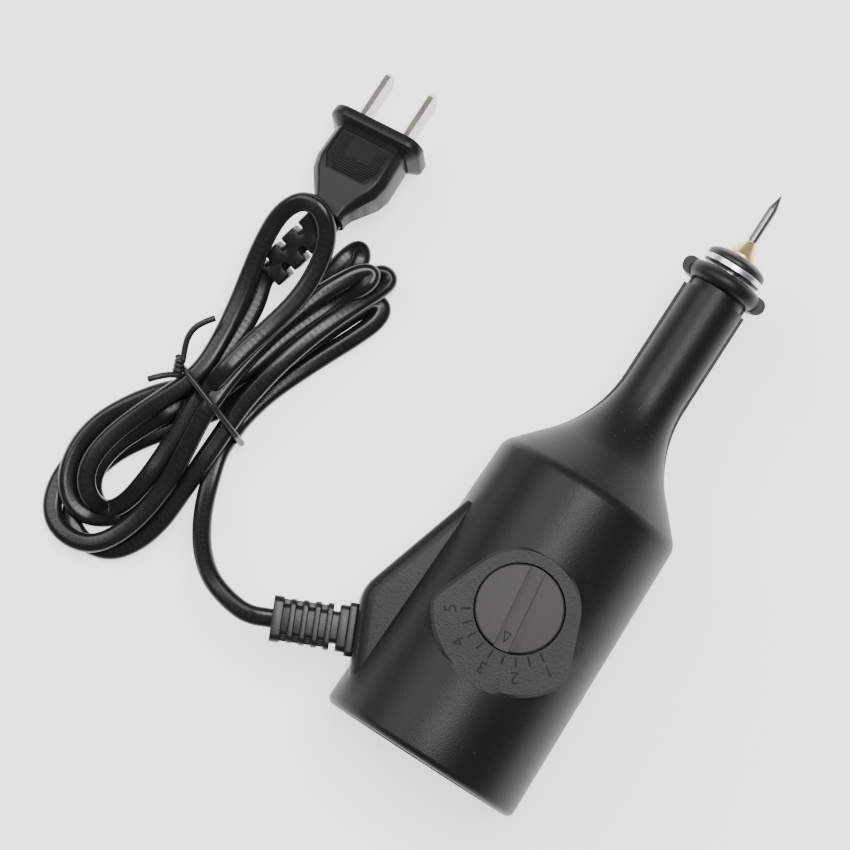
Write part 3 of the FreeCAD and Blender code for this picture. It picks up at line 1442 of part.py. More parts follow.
def lead_tube(show=None):
    """The flex from the end face of the strain relief to the hank."""
    outlet = TOOL * EXIT
    start = outlet.multVec(Vector(D.relief_length.value, 0, 0))
    ahead = outlet.multVec(Vector(D.relief_length.value + D.lead_straight.value, 0, 0))
    route = [tuple(start), tuple(ahead)] + LEAD_ROUTE
    if show:
        print(show, "starts at", [[round(value, 2) for value in point] for point in route[:2]])
    return tube(route, D.flex_radius.value, show)


def cord_lead():
    return shape_node("cord_lead", lead_tube("cord_lead"))


def prism(outline, bottom, top):
    """An upright block over an outline given in plan."""
    points = [Vector(x, y, bottom) for x, y in outline]
    face = Part.Face(Part.makePolygon(points + points[:1]))
    return face.extrude(Vector(0, 0, top - bottom))


def tie_block(inset):
    """The block round the hank inside the tie, grown or shrunk by the wire."""
    width = D.tie_width.value
    span = D.tie_span.value - 2 * inset
    height = D.hank_height.value - 2 * inset
    block = Part.makeBox(span, width + 2 * inset, height, Vector(-span / 2, -width / 2 - inset, inset))
    turn = Rotation(Vector(0, 0, 1), D.tie_turn.value)
    block.Placement = Placement(Vector(D.tie_x.value, D.tie_y.value, 0), turn)
    return block


def tie_ring():
    return tie_block(0).cut(tie_block(D.tie_thickness.value))


def cord_hank():
    """The tied flex as one solid of its outer shape, clear of the plug and its sleeve."""
    body = prism(HANK_OUTLINE, 0, D.hank_height.value)
    loop = prism(LOOP_OUTLINE, D.loop_bottom.value, D.loop_top.value)
    whole = body.fuse(loop)
    grown = D.safe_gap.value
    for block, placement in (
        (Part.makeBox(
            D.sleeve_length.value, 2 * (D.sleeve_half_y.value + grown),
            2 * (D.sleeve_half_z.value + grown),
            Vector(0, -D.sleeve_half_y.value - grown, -D.sleeve_half_z.value - grown),
        ), sleeve_placement()),
        (Part.makeBox(
            -GRIP_END.value + grown, 2 * (D.grip_half_y.value + grown),
            2 * (D.grip_half_z.value + grown),
            Vector(GRIP_END.value - grown, -D.grip_half_y.value - grown,
                   -D.grip_half_z.value - grown),
        ), PLUG),
    ):
        block.Placement = placement
        whole = whole.cut(block)
    whole = whole.cut(tie_shape()).cut(lead_tube())
    solid = max(whole.Solids, key=lambda item: item.Volume)
    return shape_node("cord_hank", solid.removeSplitter())


def rod_between(start, end, radius):
    """A straight round piece between two points."""
    way = end - start
    return Part.makeCylinder(radius, way.Length, start, way)


def tie_shape():
    """Tie wire round the hank, with its twisted knot and two loose ends."""
    half = D.tie_width.value
    knot = Vector(D.tie_x.value + 3.9, D.tie_y.value + 10.6, D.hank_height.value)
    base = knot - Vector(half * 1.3, half * 1.3, D.tie_thickness.value + 0.4)
    shape = tie_ring().fuse(Part.makeBox(half * 2.6, half * 2.6, D.tie_thickness.value * 2, base))
    for end in (Vector(15.4, 1.6, 2.4), Vector(-6.6, 5.6, 1.8)):
        shape = shape.fuse(rod_between(knot, knot + end, half / 2))
    return shape.removeSplitter()


def cord_tie():
    return shape_node("cord_tie", tie_shape())


def build():
    upper_shell()
    lower_shell()
    for make in (
        rear_plate, housing_screws, stator_core, core_screws, coil_bobbin, coil_winding,
        coil_terminals, armature, drive_rod, stop_collar, spring_seat, nose_washer, nose_boot,
        collet, chuck_nut, engraving_tip, rear_guide, rubber_buffer, front_bush, return_spring,
        dial_knob, dial_spindle, dial_washer, dial_clip, strain_relief, lead_wires, wire_joints,
        plug_body, plug_insert, plug_blades, cord_lead, cord_tie, cord_hank,
    ):
        make()


def check():
    """Refuse a document with a failed feature or a piece without a valid shape."""
    doc.recompute()
    for item in doc.Objects:
        if "Invalid" in item.State or "Error" in item.State:
            raise RuntimeError(f"{item.Name} failed: {item.State}")
    for node in NODES:
        if node.Shape.isNull() or not node.Shape.isValid():
            raise RuntimeError(f"{node.Label} has no valid shape")


def export():
    os.makedirs("parts", exist_ok=True)
    for node in NODES:
        node.Shape.exportStep(os.path.join("parts", f"{node.Label}.step"))
        print(f"{node.Label}: {len(node.Shape.Solids)} solid(s), {node.Shape.Volume:.0f} mm3")


build()
check()
export()
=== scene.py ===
"""Looks of a vibrating electric engraver that lies dial up, with its tied flex and its plug."""

import logging
import math
from dataclasses import dataclass, field
from enum import Enum
from typing import Callable, Sequence

import bmesh
import bpy
import numpy as np
from mathutils import Matrix, Vector

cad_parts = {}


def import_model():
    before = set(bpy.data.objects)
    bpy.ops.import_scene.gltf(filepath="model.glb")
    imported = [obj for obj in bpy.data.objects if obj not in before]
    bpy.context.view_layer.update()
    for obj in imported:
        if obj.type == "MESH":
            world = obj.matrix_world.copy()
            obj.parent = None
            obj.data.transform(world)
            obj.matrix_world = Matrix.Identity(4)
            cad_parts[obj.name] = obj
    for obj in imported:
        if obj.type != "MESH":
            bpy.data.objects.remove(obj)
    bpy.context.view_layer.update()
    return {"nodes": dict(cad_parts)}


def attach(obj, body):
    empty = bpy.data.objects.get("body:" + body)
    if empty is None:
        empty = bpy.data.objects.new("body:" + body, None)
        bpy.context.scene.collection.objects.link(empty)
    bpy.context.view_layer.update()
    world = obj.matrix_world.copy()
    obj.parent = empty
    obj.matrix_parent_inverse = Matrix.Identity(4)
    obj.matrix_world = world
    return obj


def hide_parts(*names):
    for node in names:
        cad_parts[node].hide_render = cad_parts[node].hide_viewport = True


LOG = logging.getLogger("engraver")
MM = 0.001
Colour = tuple[float, float, float]
Point = tuple[float, float, float]


# ---------------------------------------------------------------------------------------------
# Shader maths
# ---------------------------------------------------------------------------------------------

class Signal:
    """A shader socket that takes part in Python expressions."""

    def __init__(self, graph: "Graph", socket: bpy.types.NodeSocket) -> None:
        """Wrap one output socket.

        Args:
            graph: The graph that the socket belongs to.
            socket: The output socket.
        """
        self.graph = graph
        self.socket = socket

    def _math(self, operation: str, *values: "Signal | float") -> "Signal":
        """Add one Math node to the graph.

        Args:
            operation: The node's operation.
            values: Its inputs in order.

        Returns:
            The node's result.
        """
        return self.graph.node(
            "ShaderNodeMath", {"operation": operation}, dict(enumerate(values))
        )

    def __add__(self, other: "Signal | float") -> "Signal":
        """Sum."""
        return self._math("ADD", self, other)

    __radd__ = __add__

    def __sub__(self, other: "Signal | float") -> "Signal":
        """Difference."""
        return self._math("SUBTRACT", self, other)

    def __rsub__(self, other: "Signal | float") -> "Signal":
        """Reflected difference."""
        return self._math("SUBTRACT", other, self)

    def __mul__(self, other: "Signal | float") -> "Signal":
        """Product."""
        return self._math("MULTIPLY", self, other)

    __rmul__ = __mul__

    def __truediv__(self, other: "Signal | float") -> "Signal":
        """Quotient."""
        return self._math("DIVIDE", self, other)

    def __pow__(self, other: "Signal | float") -> "Signal":
        """Power."""
        return self._math("POWER", self, other)

    def __gt__(self, other: "Signal | float") -> "Signal":
        """One where this value is the larger."""
        return self._math("GREATER_THAN", self, other)

    def __lt__(self, other: "Signal | float") -> "Signal":
        """One where this value is the smaller."""
        return self._math("LESS_THAN", self, other)

    def fraction(self) -> "Signal":
        """What is left after the whole number."""
        return self._math("FRACT", self)

    def size(self) -> "Signal":
        """The value without its sign."""
        return self._math("ABSOLUTE", self)

    def clamped(self) -> "Signal":
        """The value kept between zero and one."""
        return self.graph.node("ShaderNodeClamp", {}, {0: self})


class Graph:
    """The node tree of one material."""

    def __init__(self, name: str) -> None:
        """Start an empty material.

        Args:
            name: The material's name.
        """
        self.material = bpy.data.materials.new(name)
        self.material.use_nodes = True
        self.tree = self.material.node_tree
        self.tree.nodes.clear()

    def node(
        self, kind: str, settings: dict | None = None, inputs: dict | None = None,
        output: int | str | None = 0,
    ) -> Signal | None:
        """Add any node.

        Args:
            kind: The node's type name.
            settings: Properties that are set first.
            inputs: Values or signals by socket name or number.
            output: The wanted output's name or number, or None for a node without one.

        Returns:
            The wanted output, or None.
        """
        node = self.tree.nodes.new(kind)
        for key, value in (settings or {}).items():
            if key == "stops":
                self._set_stops(node, value)
            else:
                setattr(node, key, value)
        for key, value in (inputs or {}).items():
            if isinstance(value, Signal):
                self.tree.links.new(value.socket, node.inputs[key])
            else:
                node.inputs[key].default_value = value
        return None if output is None else Signal(self, node.outputs[output])

    @staticmethod
    def _set_stops(node: bpy.types.Node, stops: Sequence[tuple[float, Colour]]) -> None:
        """Fill a colour ramp.

        Args:
            node: The ramp node.
            stops: Places and colours, at least two.
        """
        ramp = node.color_ramp
        while len(ramp.elements) < len(stops):
            ramp.elements.new(0.5)
        for element, (place, colour) in zip(ramp.elements, stops):
            element.position = place
            element.color = (*colour, 1.0)

    def place(self) -> Signal:
        """Object coordinates, which are the part's own frame."""
        return self.node("ShaderNodeTexCoord", output="Object")

    def stretched(self, scale: Point) -> Signal:
        """Object coordinates scaled by axis.

        Args:
            scale: Factors along X, Y and Z.

        Returns:
            The scaled coordinates.
        """
        return self.node(
            "ShaderNodeMapping", {}, {"Vector": self.place(), "Scale": scale}
        )

    def noise(
        self, scale: float, detail: float = 3.0, roughness: float = 0.5,
        where: Signal | None = None,
    ) -> Signal:
        """Smooth noise between zero and one.

        Args:
            scale: Features per metre.
            detail: Octaves.
            roughness: Weight of the fine octaves.
            where: Coordinates, or the object's own.

        Returns:
            The noise factor.
        """
        where = where or self.place()
        inputs = {"Vector": where, "Scale": scale, "Detail": detail, "Roughness": roughness}
        return self.node("ShaderNodeTexNoise", {}, inputs, "Fac")

    def cells(self, scale: float, where: Signal | None = None) -> Signal:
        """Distance to the nearest of many scattered points.

        Args:
            scale: Cells per metre.
            where: Coordinates, or the object's own.

        Returns:
            The distance.
        """
        return self.node(
            "ShaderNodeTexVoronoi", {}, {"Vector": where or self.place(), "Scale": scale},
            "Distance",
        )

    def blend(self, factor: Signal | float, low: Colour, high: Colour) -> Signal:
        """Mix two colours.

        Args:
            factor: Zero gives the first, one the second.
            low: First colour.
            high: Second colour.

        Returns:
            The mixed colour.
        """
        inputs = {"Factor": factor, 6: (*low, 1.0), 7: (*high, 1.0)}
        return self.node("ShaderNodeMix", {"data_type": "RGBA"}, inputs, 2)

    def bump(self, height: Signal, distance: float, normal: Signal | None = None) -> Signal:
        """Turn a height into a normal.

        Args:
            height: The height signal.
            distance: Metres that a height of one stands for.
            normal: A coarser bump below this one.

        Returns:
            The bumped normal.
        """
        inputs = {"Height": height, "Distance": distance, "Strength": 1.0}
        if normal is not None:
            inputs["Normal"] = normal
        return self.node("ShaderNodeBump", {}, inputs, "Normal")

    def finish(self, **sockets: "Signal | float | tuple") -> bpy.types.Material:
        """Close the graph with a Principled shader.

        Args:
            sockets: Principled inputs, spaces written as underscores.

        Returns:
            The finished material.
        """
        inputs = {key.replace("_", " "): value for key, value in sockets.items()}
        shader = self.node("ShaderNodeBsdfPrincipled", {}, inputs)
        self.node("ShaderNodeOutputMaterial", {}, {"Surface": shader}, None)
        return self.material


# ---------------------------------------------------------------------------------------------
# Finishes
# ---------------------------------------------------------------------------------------------

@dataclass(frozen=True)
class Moulded:
    """Black moulded plastic or rubber: a fine grain, uneven gloss and a little dust."""

    name: str
    colour: Colour
    lift: Colour
    roughness: float = 0.42
    uneven: float = 0.10
    grain: float = 2600.0
    depth: float = 0.00002
    dust: float = 0.0
    shine: float = 1.42

    def material(self) -> bpy.types.Material:
        """Build the material.

        Returns:
            The material.
        """
        graph = Graph(self.name)
        cloud = graph.noise(55.0, 4.0, 0.6)
        fine = graph.noise(self.grain, 2.0, 0.6)
        pits = graph.cells(self.grain * 0.8)
        tone = (cloud * 0.7 + fine * 0.3).clamped()
        colour = graph.blend(tone, self.colour, self.lift)
        height = fine * 0.6 + pits * 0.6
        gloss = self.roughness + (cloud - 0.5) * self.uneven + (fine - 0.5) * 0.12
        if self.dust > 0.0:
            speck = graph.cells(520.0) < 0.055
            patch = graph.noise(30.0, 1.0) > 0.55
            mask = speck * patch * self.dust
            inputs = {"Factor": mask, 6: colour, 7: (0.30, 0.30, 0.31, 1.0)}
            colour = graph.node("ShaderNodeMix", {"data_type": "RGBA"}, inputs, 2)
            gloss = gloss + mask * 0.3
        return graph.finish(
            Base_Color=colour, Roughness=gloss, IOR=self.shine,
            Normal=graph.bump(height, self.depth),
        )


@dataclass(frozen=True)
class FlexCover:
    """Glossy black cover of the flat flex, with a row of small raised dashes on one face."""

    name: str = "flex_cover"
    colour: Colour = (0.006, 0.006, 0.0065)
    lift: Colour = (0.013, 0.013, 0.014)
    roughness: float = 0.25

    def material(self) -> bpy.types.Material:
        """Build the material.

        Returns:
            The material.
        """
        graph = Graph(self.name)
        layout = graph.node("ShaderNodeUVMap", {"uv_map": "lay"})
        along = graph.node("ShaderNodeSeparateXYZ", {}, {0: layout}, "X")
        around = graph.node("ShaderNodeSeparateXYZ", {}, {0: layout}, "Y")
        cloud = graph.noise(90.0, 4.0, 0.6)
        fine = graph.noise(3000.0, 2.0, 0.5)
        stroke = ((along * 620.0).fraction() - 0.5).size() < 0.27
        group = graph.noise(95.0, 0.0, where=layout) > 0.44
        band = (around - 0.25).size() < 0.045
        mark = stroke * group * band
        height = mark * 0.8 + fine * 0.12 + cloud * 0.3
        gloss = self.roughness + (cloud - 0.5) * 0.16 + mark * 0.06
        colour = graph.blend(cloud, self.colour, self.lift)
        return graph.finish(
            Base_Color=colour, Roughness=gloss, IOR=1.38,
            Normal=graph.bump(height, 0.00007),
        )


@dataclass(frozen=True)
class TurnedMetal:
    """Metal turned about the tool's axis: fine rings and faint stains."""

    name: str
    colour: Colour
    stain: Colour
    roughness: float = 0.25
    rings: float = 9000.0
    depth: float = 0.000006

    def material(self) -> bpy.types.Material:
        """Build the material.

        Returns:
            The material.
        """
        graph = Graph(self.name)
        ring = graph.noise(1.0, 3.0, 0.6, graph.stretched((self.rings, 60.0, 60.0)))
        cloud = graph.noise(420.0, 4.0, 0.6)
        colour = graph.blend((cloud * 1.5 - 0.35).clamped(), self.colour, self.stain)
        gloss = self.roughness + (ring - 0.5) * 0.22 + (cloud - 0.5) * 0.12
        return graph.finish(
            Base_Color=colour, Metallic=1.0, Roughness=gloss,
            Normal=graph.bump(ring, self.depth),
        )


@dataclass(frozen=True)
class DrawnMetal:
    """Flat metal with fine lines along one direction."""

    name: str
    colour: Colour
    stain: Colour
    scale: Point
    roughness: float = 0.3

    def material(self) -> bpy.types.Material:
        """Build the material.

        Returns:
            The material.
        """
        graph = Graph(self.name)
        lines = graph.noise(1.0, 4.0, 0.65, graph.stretched(self.scale))
        cloud = graph.noise(260.0, 3.0, 0.6)
        colour = graph.blend(cloud, self.colour, self.stain)
        gloss = self.roughness + (lines - 0.5) * 0.25 + (cloud - 0.5) * 0.15
        return graph.finish(
            Base_Color=colour, Metallic=1.0, Roughness=gloss,
            Normal=graph.bump(lines, 0.000006),
        )


@dataclass(frozen=True)
class Stacked:
    """Layers across one axis: iron sheets or turns of lacquered wire."""

    name: str
    colour: Colour
    groove: Colour
    pitch: float
    axis: str = "Z"
    metal: float = 1.0
    roughness: float = 0.45

    def material(self) -> bpy.types.Material:
        """Build the material.

        Returns:
            The material.
        """
        graph = Graph(self.name)
        value = graph.node("ShaderNodeSeparateXYZ", {}, {0: graph.place()}, self.axis)
        wave = ((value / self.pitch).fraction() - 0.5).size() * 2.0
        cloud = graph.noise(300.0, 3.0)
        colour = graph.blend((wave * wave * 0.9 + cloud * 0.1).clamped(), self.colour, self.groove)
        gloss = self.roughness + (cloud - 0.5) * 0.2
        return graph.finish(
            Base_Color=colour, Metallic=self.metal, Roughness=gloss,
            Normal=graph.bump(1.0 - wave * wave, self.pitch * 0.25),
        )


class Finish(Enum):
    """The finishes of the tool, each built once."""

    SHELL = Moulded(
        "shell_plastic", (0.0070, 0.0073, 0.0073), (0.0115, 0.0117, 0.0117), 0.40, 0.10,
        2300.0, 0.000035, dust=0.35, shine=1.3,
    )
    REAR = Moulded(
        "rear_plastic", (0.006, 0.006, 0.0062), (0.010, 0.010, 0.0102), 0.6, 0.1, 2300.0,
        0.000035, shine=1.2,
    )
    KNOB = Moulded(
        "knob_plastic", (0.031, 0.030, 0.028), (0.042, 0.040, 0.038), 0.55, 0.08, 4200.0,
        0.000012,
    )
    RELIEF = Moulded(
        "relief_pvc", (0.008, 0.008, 0.0085), (0.014, 0.014, 0.015), 0.36, 0.14, 1500.0,
        0.00002, dust=0.2,
    )
    PLUG = Moulded(
        "plug_pvc", (0.008, 0.008, 0.0085), (0.015, 0.015, 0.016), 0.36, 0.14, 1300.0, 0.00002,
        shine=1.3,
    )
    BOOT = Moulded(
        "boot_rubber", (0.008, 0.008, 0.008), (0.014, 0.014, 0.014), 0.4, 0.12, 1700.0, 0.00002
    )
    TIE = Moulded(
        "tie_cover", (0.010, 0.010, 0.0105), (0.018, 0.018, 0.019), 0.38, 0.12, 1500.0, 0.00002
    )
    NYLON = Moulded(
        "bobbin_nylon", (0.60, 0.57, 0.47), (0.70, 0.67, 0.57), 0.45, 0.1, 900.0, 0.00001
    )
    ACETAL = Moulded(
        "bush_acetal", (0.68, 0.67, 0.62), (0.76, 0.75, 0.70), 0.4, 0.1, 900.0, 0.00001
    )
    SLEEVING = Moulded(
        "joint_sleeve", (0.55, 0.55, 0.52), (0.66, 0.66, 0.63), 0.35, 0.1, 900.0, 0.00001
    )
    # Near black: painted shade for the scale marks, digits and knob triangle, standing in for the
    # shade in their relief.
    ENGRAVED = Moulded(
        "marks_painted_shade", (0.003, 0.003, 0.003), (0.005, 0.005, 0.005), 0.7, 0.1, 2600.0, 0.00001
    )
    DOT = Moulded(
        "dot_grey", (0.30, 0.30, 0.30), (0.40, 0.40, 0.40), 0.3, 0.1, 2600.0, 0.00001
    )
    FLEX = FlexCover()
    STEEL = TurnedMetal("bright_steel", (0.84, 0.86, 0.89), (0.66, 0.68, 0.71), 0.30)
    SCREW = TurnedMetal("zinc_steel", (0.50, 0.50, 0.51), (0.36, 0.36, 0.38), 0.34, 3000.0)
    TIP = TurnedMetal("tip_steel", (0.23, 0.225, 0.22), (0.13, 0.125, 0.12), 0.34, 2500.0)
    BRASS = TurnedMetal("turned_brass", (0.94, 0.73, 0.43), (0.80, 0.58, 0.30), 0.36, 7000.0)
    BLADE = DrawnMetal(
        "nickel_blade", (0.66, 0.63, 0.58), (0.52, 0.49, 0.44), (300.0, 9000.0, 9000.0), 0.26
    )
    IRON = Stacked("core_sheets", (0.17, 0.17, 0.18), (0.04, 0.04, 0.045), 0.0005)
    COPPER = Stacked(
        "coil_copper", (0.60, 0.25, 0.11), (0.14, 0.05, 0.02), 0.00045, "X", 0.8, 0.35
    )


class Wardrobe:
    """Builds each finish once and hands it out."""

    def __init__(self) -> None:
        """Start with no finish built."""
        self._built: dict[Finish, bpy.types.Material] = {}

    def __getitem__(self, finish: Finish) -> bpy.types.Material:
        """The material of a finish."""
        if finish not in self._built:
            self._built[finish] = finish.value.material()
        return self._built[finish]

    def dress(self, piece: bpy.types.Object, finish: Finish) -> None:
        """Give a piece one finish all over.

        Args:
            piece: The object.
            finish: Its finish.
        """
        piece.data.materials.clear()
        piece.data.materials.append(self[finish])


# ---------------------------------------------------------------------------------------------
# Modelling
# ---------------------------------------------------------------------------------------------

EdgeTest = Callable[[Vector, Vector], bool]


class Bench:
    """Modelling steps done with Blender's own operators."""

    @staticmethod
    def clear() -> None:
        """Deselect everything."""
        bpy.ops.object.select_all(action="DESELECT")

    @classmethod
    def take(cls, piece: bpy.types.Object) -> None:
        """Make one piece the only selected and the active one.

        Args:
            piece: The object.
        """
        cls.clear()
        piece.select_set(True)
        bpy.context.view_layer.objects.active = piece

    @classmethod
    def outward(cls, piece: bpy.types.Object) -> None:
        """Turn all faces of a piece outward.

        Args:
            piece: The object.
        """
        cls.take(piece)
        bpy.ops.object.mode_set(mode="EDIT")
        bpy.ops.mesh.select_all(action="SELECT")
        bpy.ops.mesh.normals_make_consistent(inside=False)
        bpy.ops.object.mode_set(mode="OBJECT")

    @classmethod
    def block(cls, name: str, low: Point, high: Point) -> bpy.types.Object:
        """A cuboid between two corners, in metres.

        Args:
            name: The object's name.
            low: Lowest corner.
            high: Highest corner.

        Returns:
            The object, with its place in its mesh.
        """
        cls.clear()
        centre = [(a + b) / 2 for a, b in zip(low, high)]
        size = [b - a for a, b in zip(low, high)]
        bpy.ops.mesh.primitive_cube_add(size=1.0, location=centre, scale=size)
        piece = bpy.context.active_object
        piece.name = piece.data.name = name
        bpy.ops.object.transform_apply(location=True, rotation=True, scale=True)
        return piece

    @classmethod
    def turned(
        cls, name: str, outline: Sequence[tuple[float, float]], steps: int = 96,
    ) -> bpy.types.Object:
        """A piece spun about the X axis from (along, radius) points, in metres.

        Args:
            name: The object's name.
            outline: Points of the profile, in order; radius zero closes a pole.
            steps: Steps round the axis.

        Returns:
            The object.
        """
        cls.clear()
        mesh = bpy.data.meshes.new(name)
        points = [(x, 0.0, radius) for x, radius in outline]
        mesh.from_pydata(points, [(i, i + 1) for i in range(len(points) - 1)], [])
        piece = bpy.data.objects.new(name, mesh)
        bpy.context.collection.objects.link(piece)
        cls.take(piece)
        bpy.ops.object.mode_set(mode="EDIT")
        bpy.ops.mesh.select_all(action="SELECT")
        bpy.ops.mesh.spin(
            steps=steps, angle=math.tau, center=(0.0, 0.0, 0.0), axis=(1.0, 0.0, 0.0)
        )
        bpy.ops.mesh.select_all(action="SELECT")
        bpy.ops.mesh.remove_doubles(threshold=1e-7)
        bpy.ops.mesh.normals_make_consistent(inside=False)
        bpy.ops.object.mode_set(mode="OBJECT")
        return piece

    @classmethod
    def pick(
        cls, piece: bpy.types.Object, mode: str, test: Callable[[Vector, Vector], bool]
    ) -> int:
        """Select edges or faces by place and direction, and stay in edit mode.

        Args:
            piece: The object.
            mode: EDGE or FACE.
            test: Called with the middle and the direction or normal.

        Returns:
            How many were selected.
        """
        cls.take(piece)
        bpy.ops.object.mode_set(mode="EDIT")
        bpy.ops.mesh.select_mode(type=mode)
        bpy.ops.mesh.select_all(action="DESELECT")
        mesh = bmesh.from_edit_mesh(piece.data)
        count = 0
        for item in mesh.edges if mode == "EDGE" else mesh.faces:
            if mode == "EDGE":
                start, end = (vert.co for vert in item.verts)
                middle, way = (start + end) / 2, (end - start).normalized()
            else:
                middle, way = item.calc_center_median(), item.normal
            if test(middle, way):
                item.select_set(True)
                count += 1
        mesh.select_flush_mode()
        bmesh.update_edit_mesh(piece.data)
        return count

    @staticmethod
    def leave() -> None:
        """Go back to object mode."""
        bpy.ops.object.mode_set(mode="OBJECT")

    @classmethod
    def round_edges(
        cls, piece: bpy.types.Object, width: float, test: EdgeTest, segments: int = 4
    ) -> None:
        """Bevel the edges that pass a test.

        Args:
            piece: The object.
            width: Bevel width in metres.
            test: Called with an edge's middle and direction.
            segments: Steps across the bevel.
        """
        if cls.pick(piece, "EDGE", test):
            bpy.ops.mesh.bevel(offset=width, segments=segments, profile=0.5, affect="EDGES")
        cls.leave()

    @classmethod
    def modify(cls, piece: bpy.types.Object, kind: str, **settings: object) -> None:
        """Add a modifier and apply it.

        Args:
            piece: The object.
            kind: The modifier's type.
            settings: Its properties.
        """
        cls.take(piece)
        modifier = piece.modifiers.new(kind.title(), kind)
        for key, value in settings.items():
            setattr(modifier, key, value)
        bpy.ops.object.modifier_apply(modifier=modifier.name)

    @classmethod
    def soften(cls, piece: bpy.types.Object, width: float, segments: int = 3) -> None:
        """Round all sharp edges a little.

        Args:
            piece: The object.
            width: Bevel width in metres.
            segments: Steps across the bevel.
        """
        cls.modify(
            piece, "BEVEL", width=width, segments=segments, limit_method="ANGLE",
            angle_limit=math.radians(30), use_clamp_overlap=True,
        )

    @classmethod
    def smooth(cls, piece: bpy.types.Object, degrees: float = 32.0) -> None:
        """Shade smooth, keeping edges sharper than an angle.

        Args:
            piece: The object.
            degrees: The angle.
        """
        cls.take(piece)
        bpy.ops.object.shade_smooth_by_angle(angle=math.radians(degrees))

    @classmethod
    def join(cls, name: str, pieces: Sequence[bpy.types.Object]) -> bpy.types.Object:
        """Join several objects into one.

        Args:
            name: The joined object's name.
            pieces: The objects; the first one stays.

        Returns:
            The joined object.
        """
        cls.clear()
        for piece in pieces:
            piece.select_set(True)
        bpy.context.view_layer.objects.active = pieces[0]
        if len(pieces) > 1:
            bpy.ops.object.join()
        joined = bpy.context.active_object
        joined.name = joined.data.name = name
        return joined

    @staticmethod
    def put(piece: bpy.types.Object, placement: Matrix) -> bpy.types.Object:
        """Move a mesh, leaving its object at the origin.

        Args:
            piece: The object.
            placement: Where the mesh goes.

        Returns:
            The same object.
        """
        piece.data.transform(placement)
        piece.data.update()
        return piece

    @classmethod
    def merged_copy(cls, node: bpy.types.Object, name: str) -> bpy.types.Object:
        """A copy of a CAD solid with its vertices merged, smooth where it curves.

        Args:
            node: The CAD node's object.
            name: The copy's name.

        Returns:
            The copy.
        """
        mesh = node.data.copy()
        mesh.name = name
        piece = bpy.data.objects.new(name, mesh)
        bpy.context.collection.objects.link(piece)
        cls.take(piece)
        if mesh.has_custom_normals:
            bpy.ops.mesh.customdata_custom_splitnormals_clear()
        bpy.ops.object.mode_set(mode="EDIT")
        bpy.ops.mesh.select_all(action="SELECT")
        bpy.ops.mesh.remove_doubles(threshold=2e-6)
        bpy.ops.object.mode_set(mode="OBJECT")
        cls.smooth(piece, 26.0)
        return piece

    @classmethod
    def mesh_of(cls, piece: bpy.types.Object) -> bpy.types.Object:
        """Turn a curve or text object into a mesh object.

        Args:
            piece: The object.

        Returns:
            The mesh object.
        """
        cls.take(piece)
        bpy.ops.object.convert(target="MESH")
        return bpy.context.active_object


# ---------------------------------------------------------------------------------------------
# Where the tool lies
# ---------------------------------------------------------------------------------------------

@dataclass(frozen=True)
class Lie:
    """The tool's own frame: X along its axis from the rear rim, Z up through the dial."""

    lean: float = math.radians(1.4576)
    origin: Point = (-0.083652, -0.003539, 0.027191)

    def matrix(self) -> Matrix:
        """From the tool's own frame to the part's frame.

        Returns:
            The placement.
        """
        turn = Matrix.Rotation(self.lean, 4, "Y")
        return Matrix.Translation(self.origin) @ turn

    def dial(self, turn: float = 0.0) -> Matrix:
        """The dial's frame, Z along the spindle.

        Args:
            turn: Angle about the spindle, in degrees.

        Returns:
            The placement.
        """
        at = Matrix.Translation((0.044, 0.0, 0.0))
        return self.matrix() @ at @ Matrix.Rotation(math.radians(turn), 4, "Z")

    def outlet(self) -> Matrix:
        """The flex outlet's frame, X out of the hump.

        Returns:
            The placement.
        """
        at = Matrix.Translation((0.0184, 0.030505, 0.0))
        return self.matrix() @ at @ Matrix.Rotation(math.radians(114.6), 4, "Z")


LIE = Lie()


@dataclass
class Report:
    """Dresses finished pieces, attaches them to their bodies and logs them."""

    wardrobe: Wardrobe = field(default_factory=Wardrobe)

    def piece(
        self, obj: bpy.types.Object, body: str, slot: str, finish: Finish | None,
        *nodes: str,
    ) -> bpy.types.Object:
        """Dress a piece, let it ride on its body and hide the CAD nodes that it stands for.

        Args:
            obj: The piece.
            body: The CAD body that it moves with.
            slot: The record's material slot; not used.
            finish: Its finish, or None when it is dressed already.
            nodes: CAD nodes that it stands for.

        Returns:
            The piece.
        """
        if finish is not None:
            self.wardrobe.dress(obj, finish)
        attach(obj, body)
        if nodes:
            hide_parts(*nodes)
        LOG.info("%s rides on %s", obj.name, body)
        return obj


# ---------------------------------------------------------------------------------------------
# The flex
# ---------------------------------------------------------------------------------------------

@dataclass(frozen=True)
class Run:
    """One run of the tied flex, seen from above.

    Attributes:
        layer: How high the run lies among the others, at its start and its end.
        places: Points of the route in millimetres, X and Y.
        lift: Lowest heights that the run may have, for a run over something else.
    """

    layer: tuple[float, float]
    places: tuple[tuple[float, float], ...]
    lift: tuple[float, ...] = ()


LEAD = (
    (-73.1, 44.1, 26.95), (-74.0, 46.06, 26.95), (-76.49, 51.52, 27.01), (-76.1, 57.5, 24.2),
    (-74.2, 64.0, 20.9), (-70.4, 69.0, 16.8), (-65.4, 72.9, 12.7), (-59.5, 76.0, 9.3),
    (-52.7, 78.4, 7.1), (-46.4, 80.2, 6.2),
)

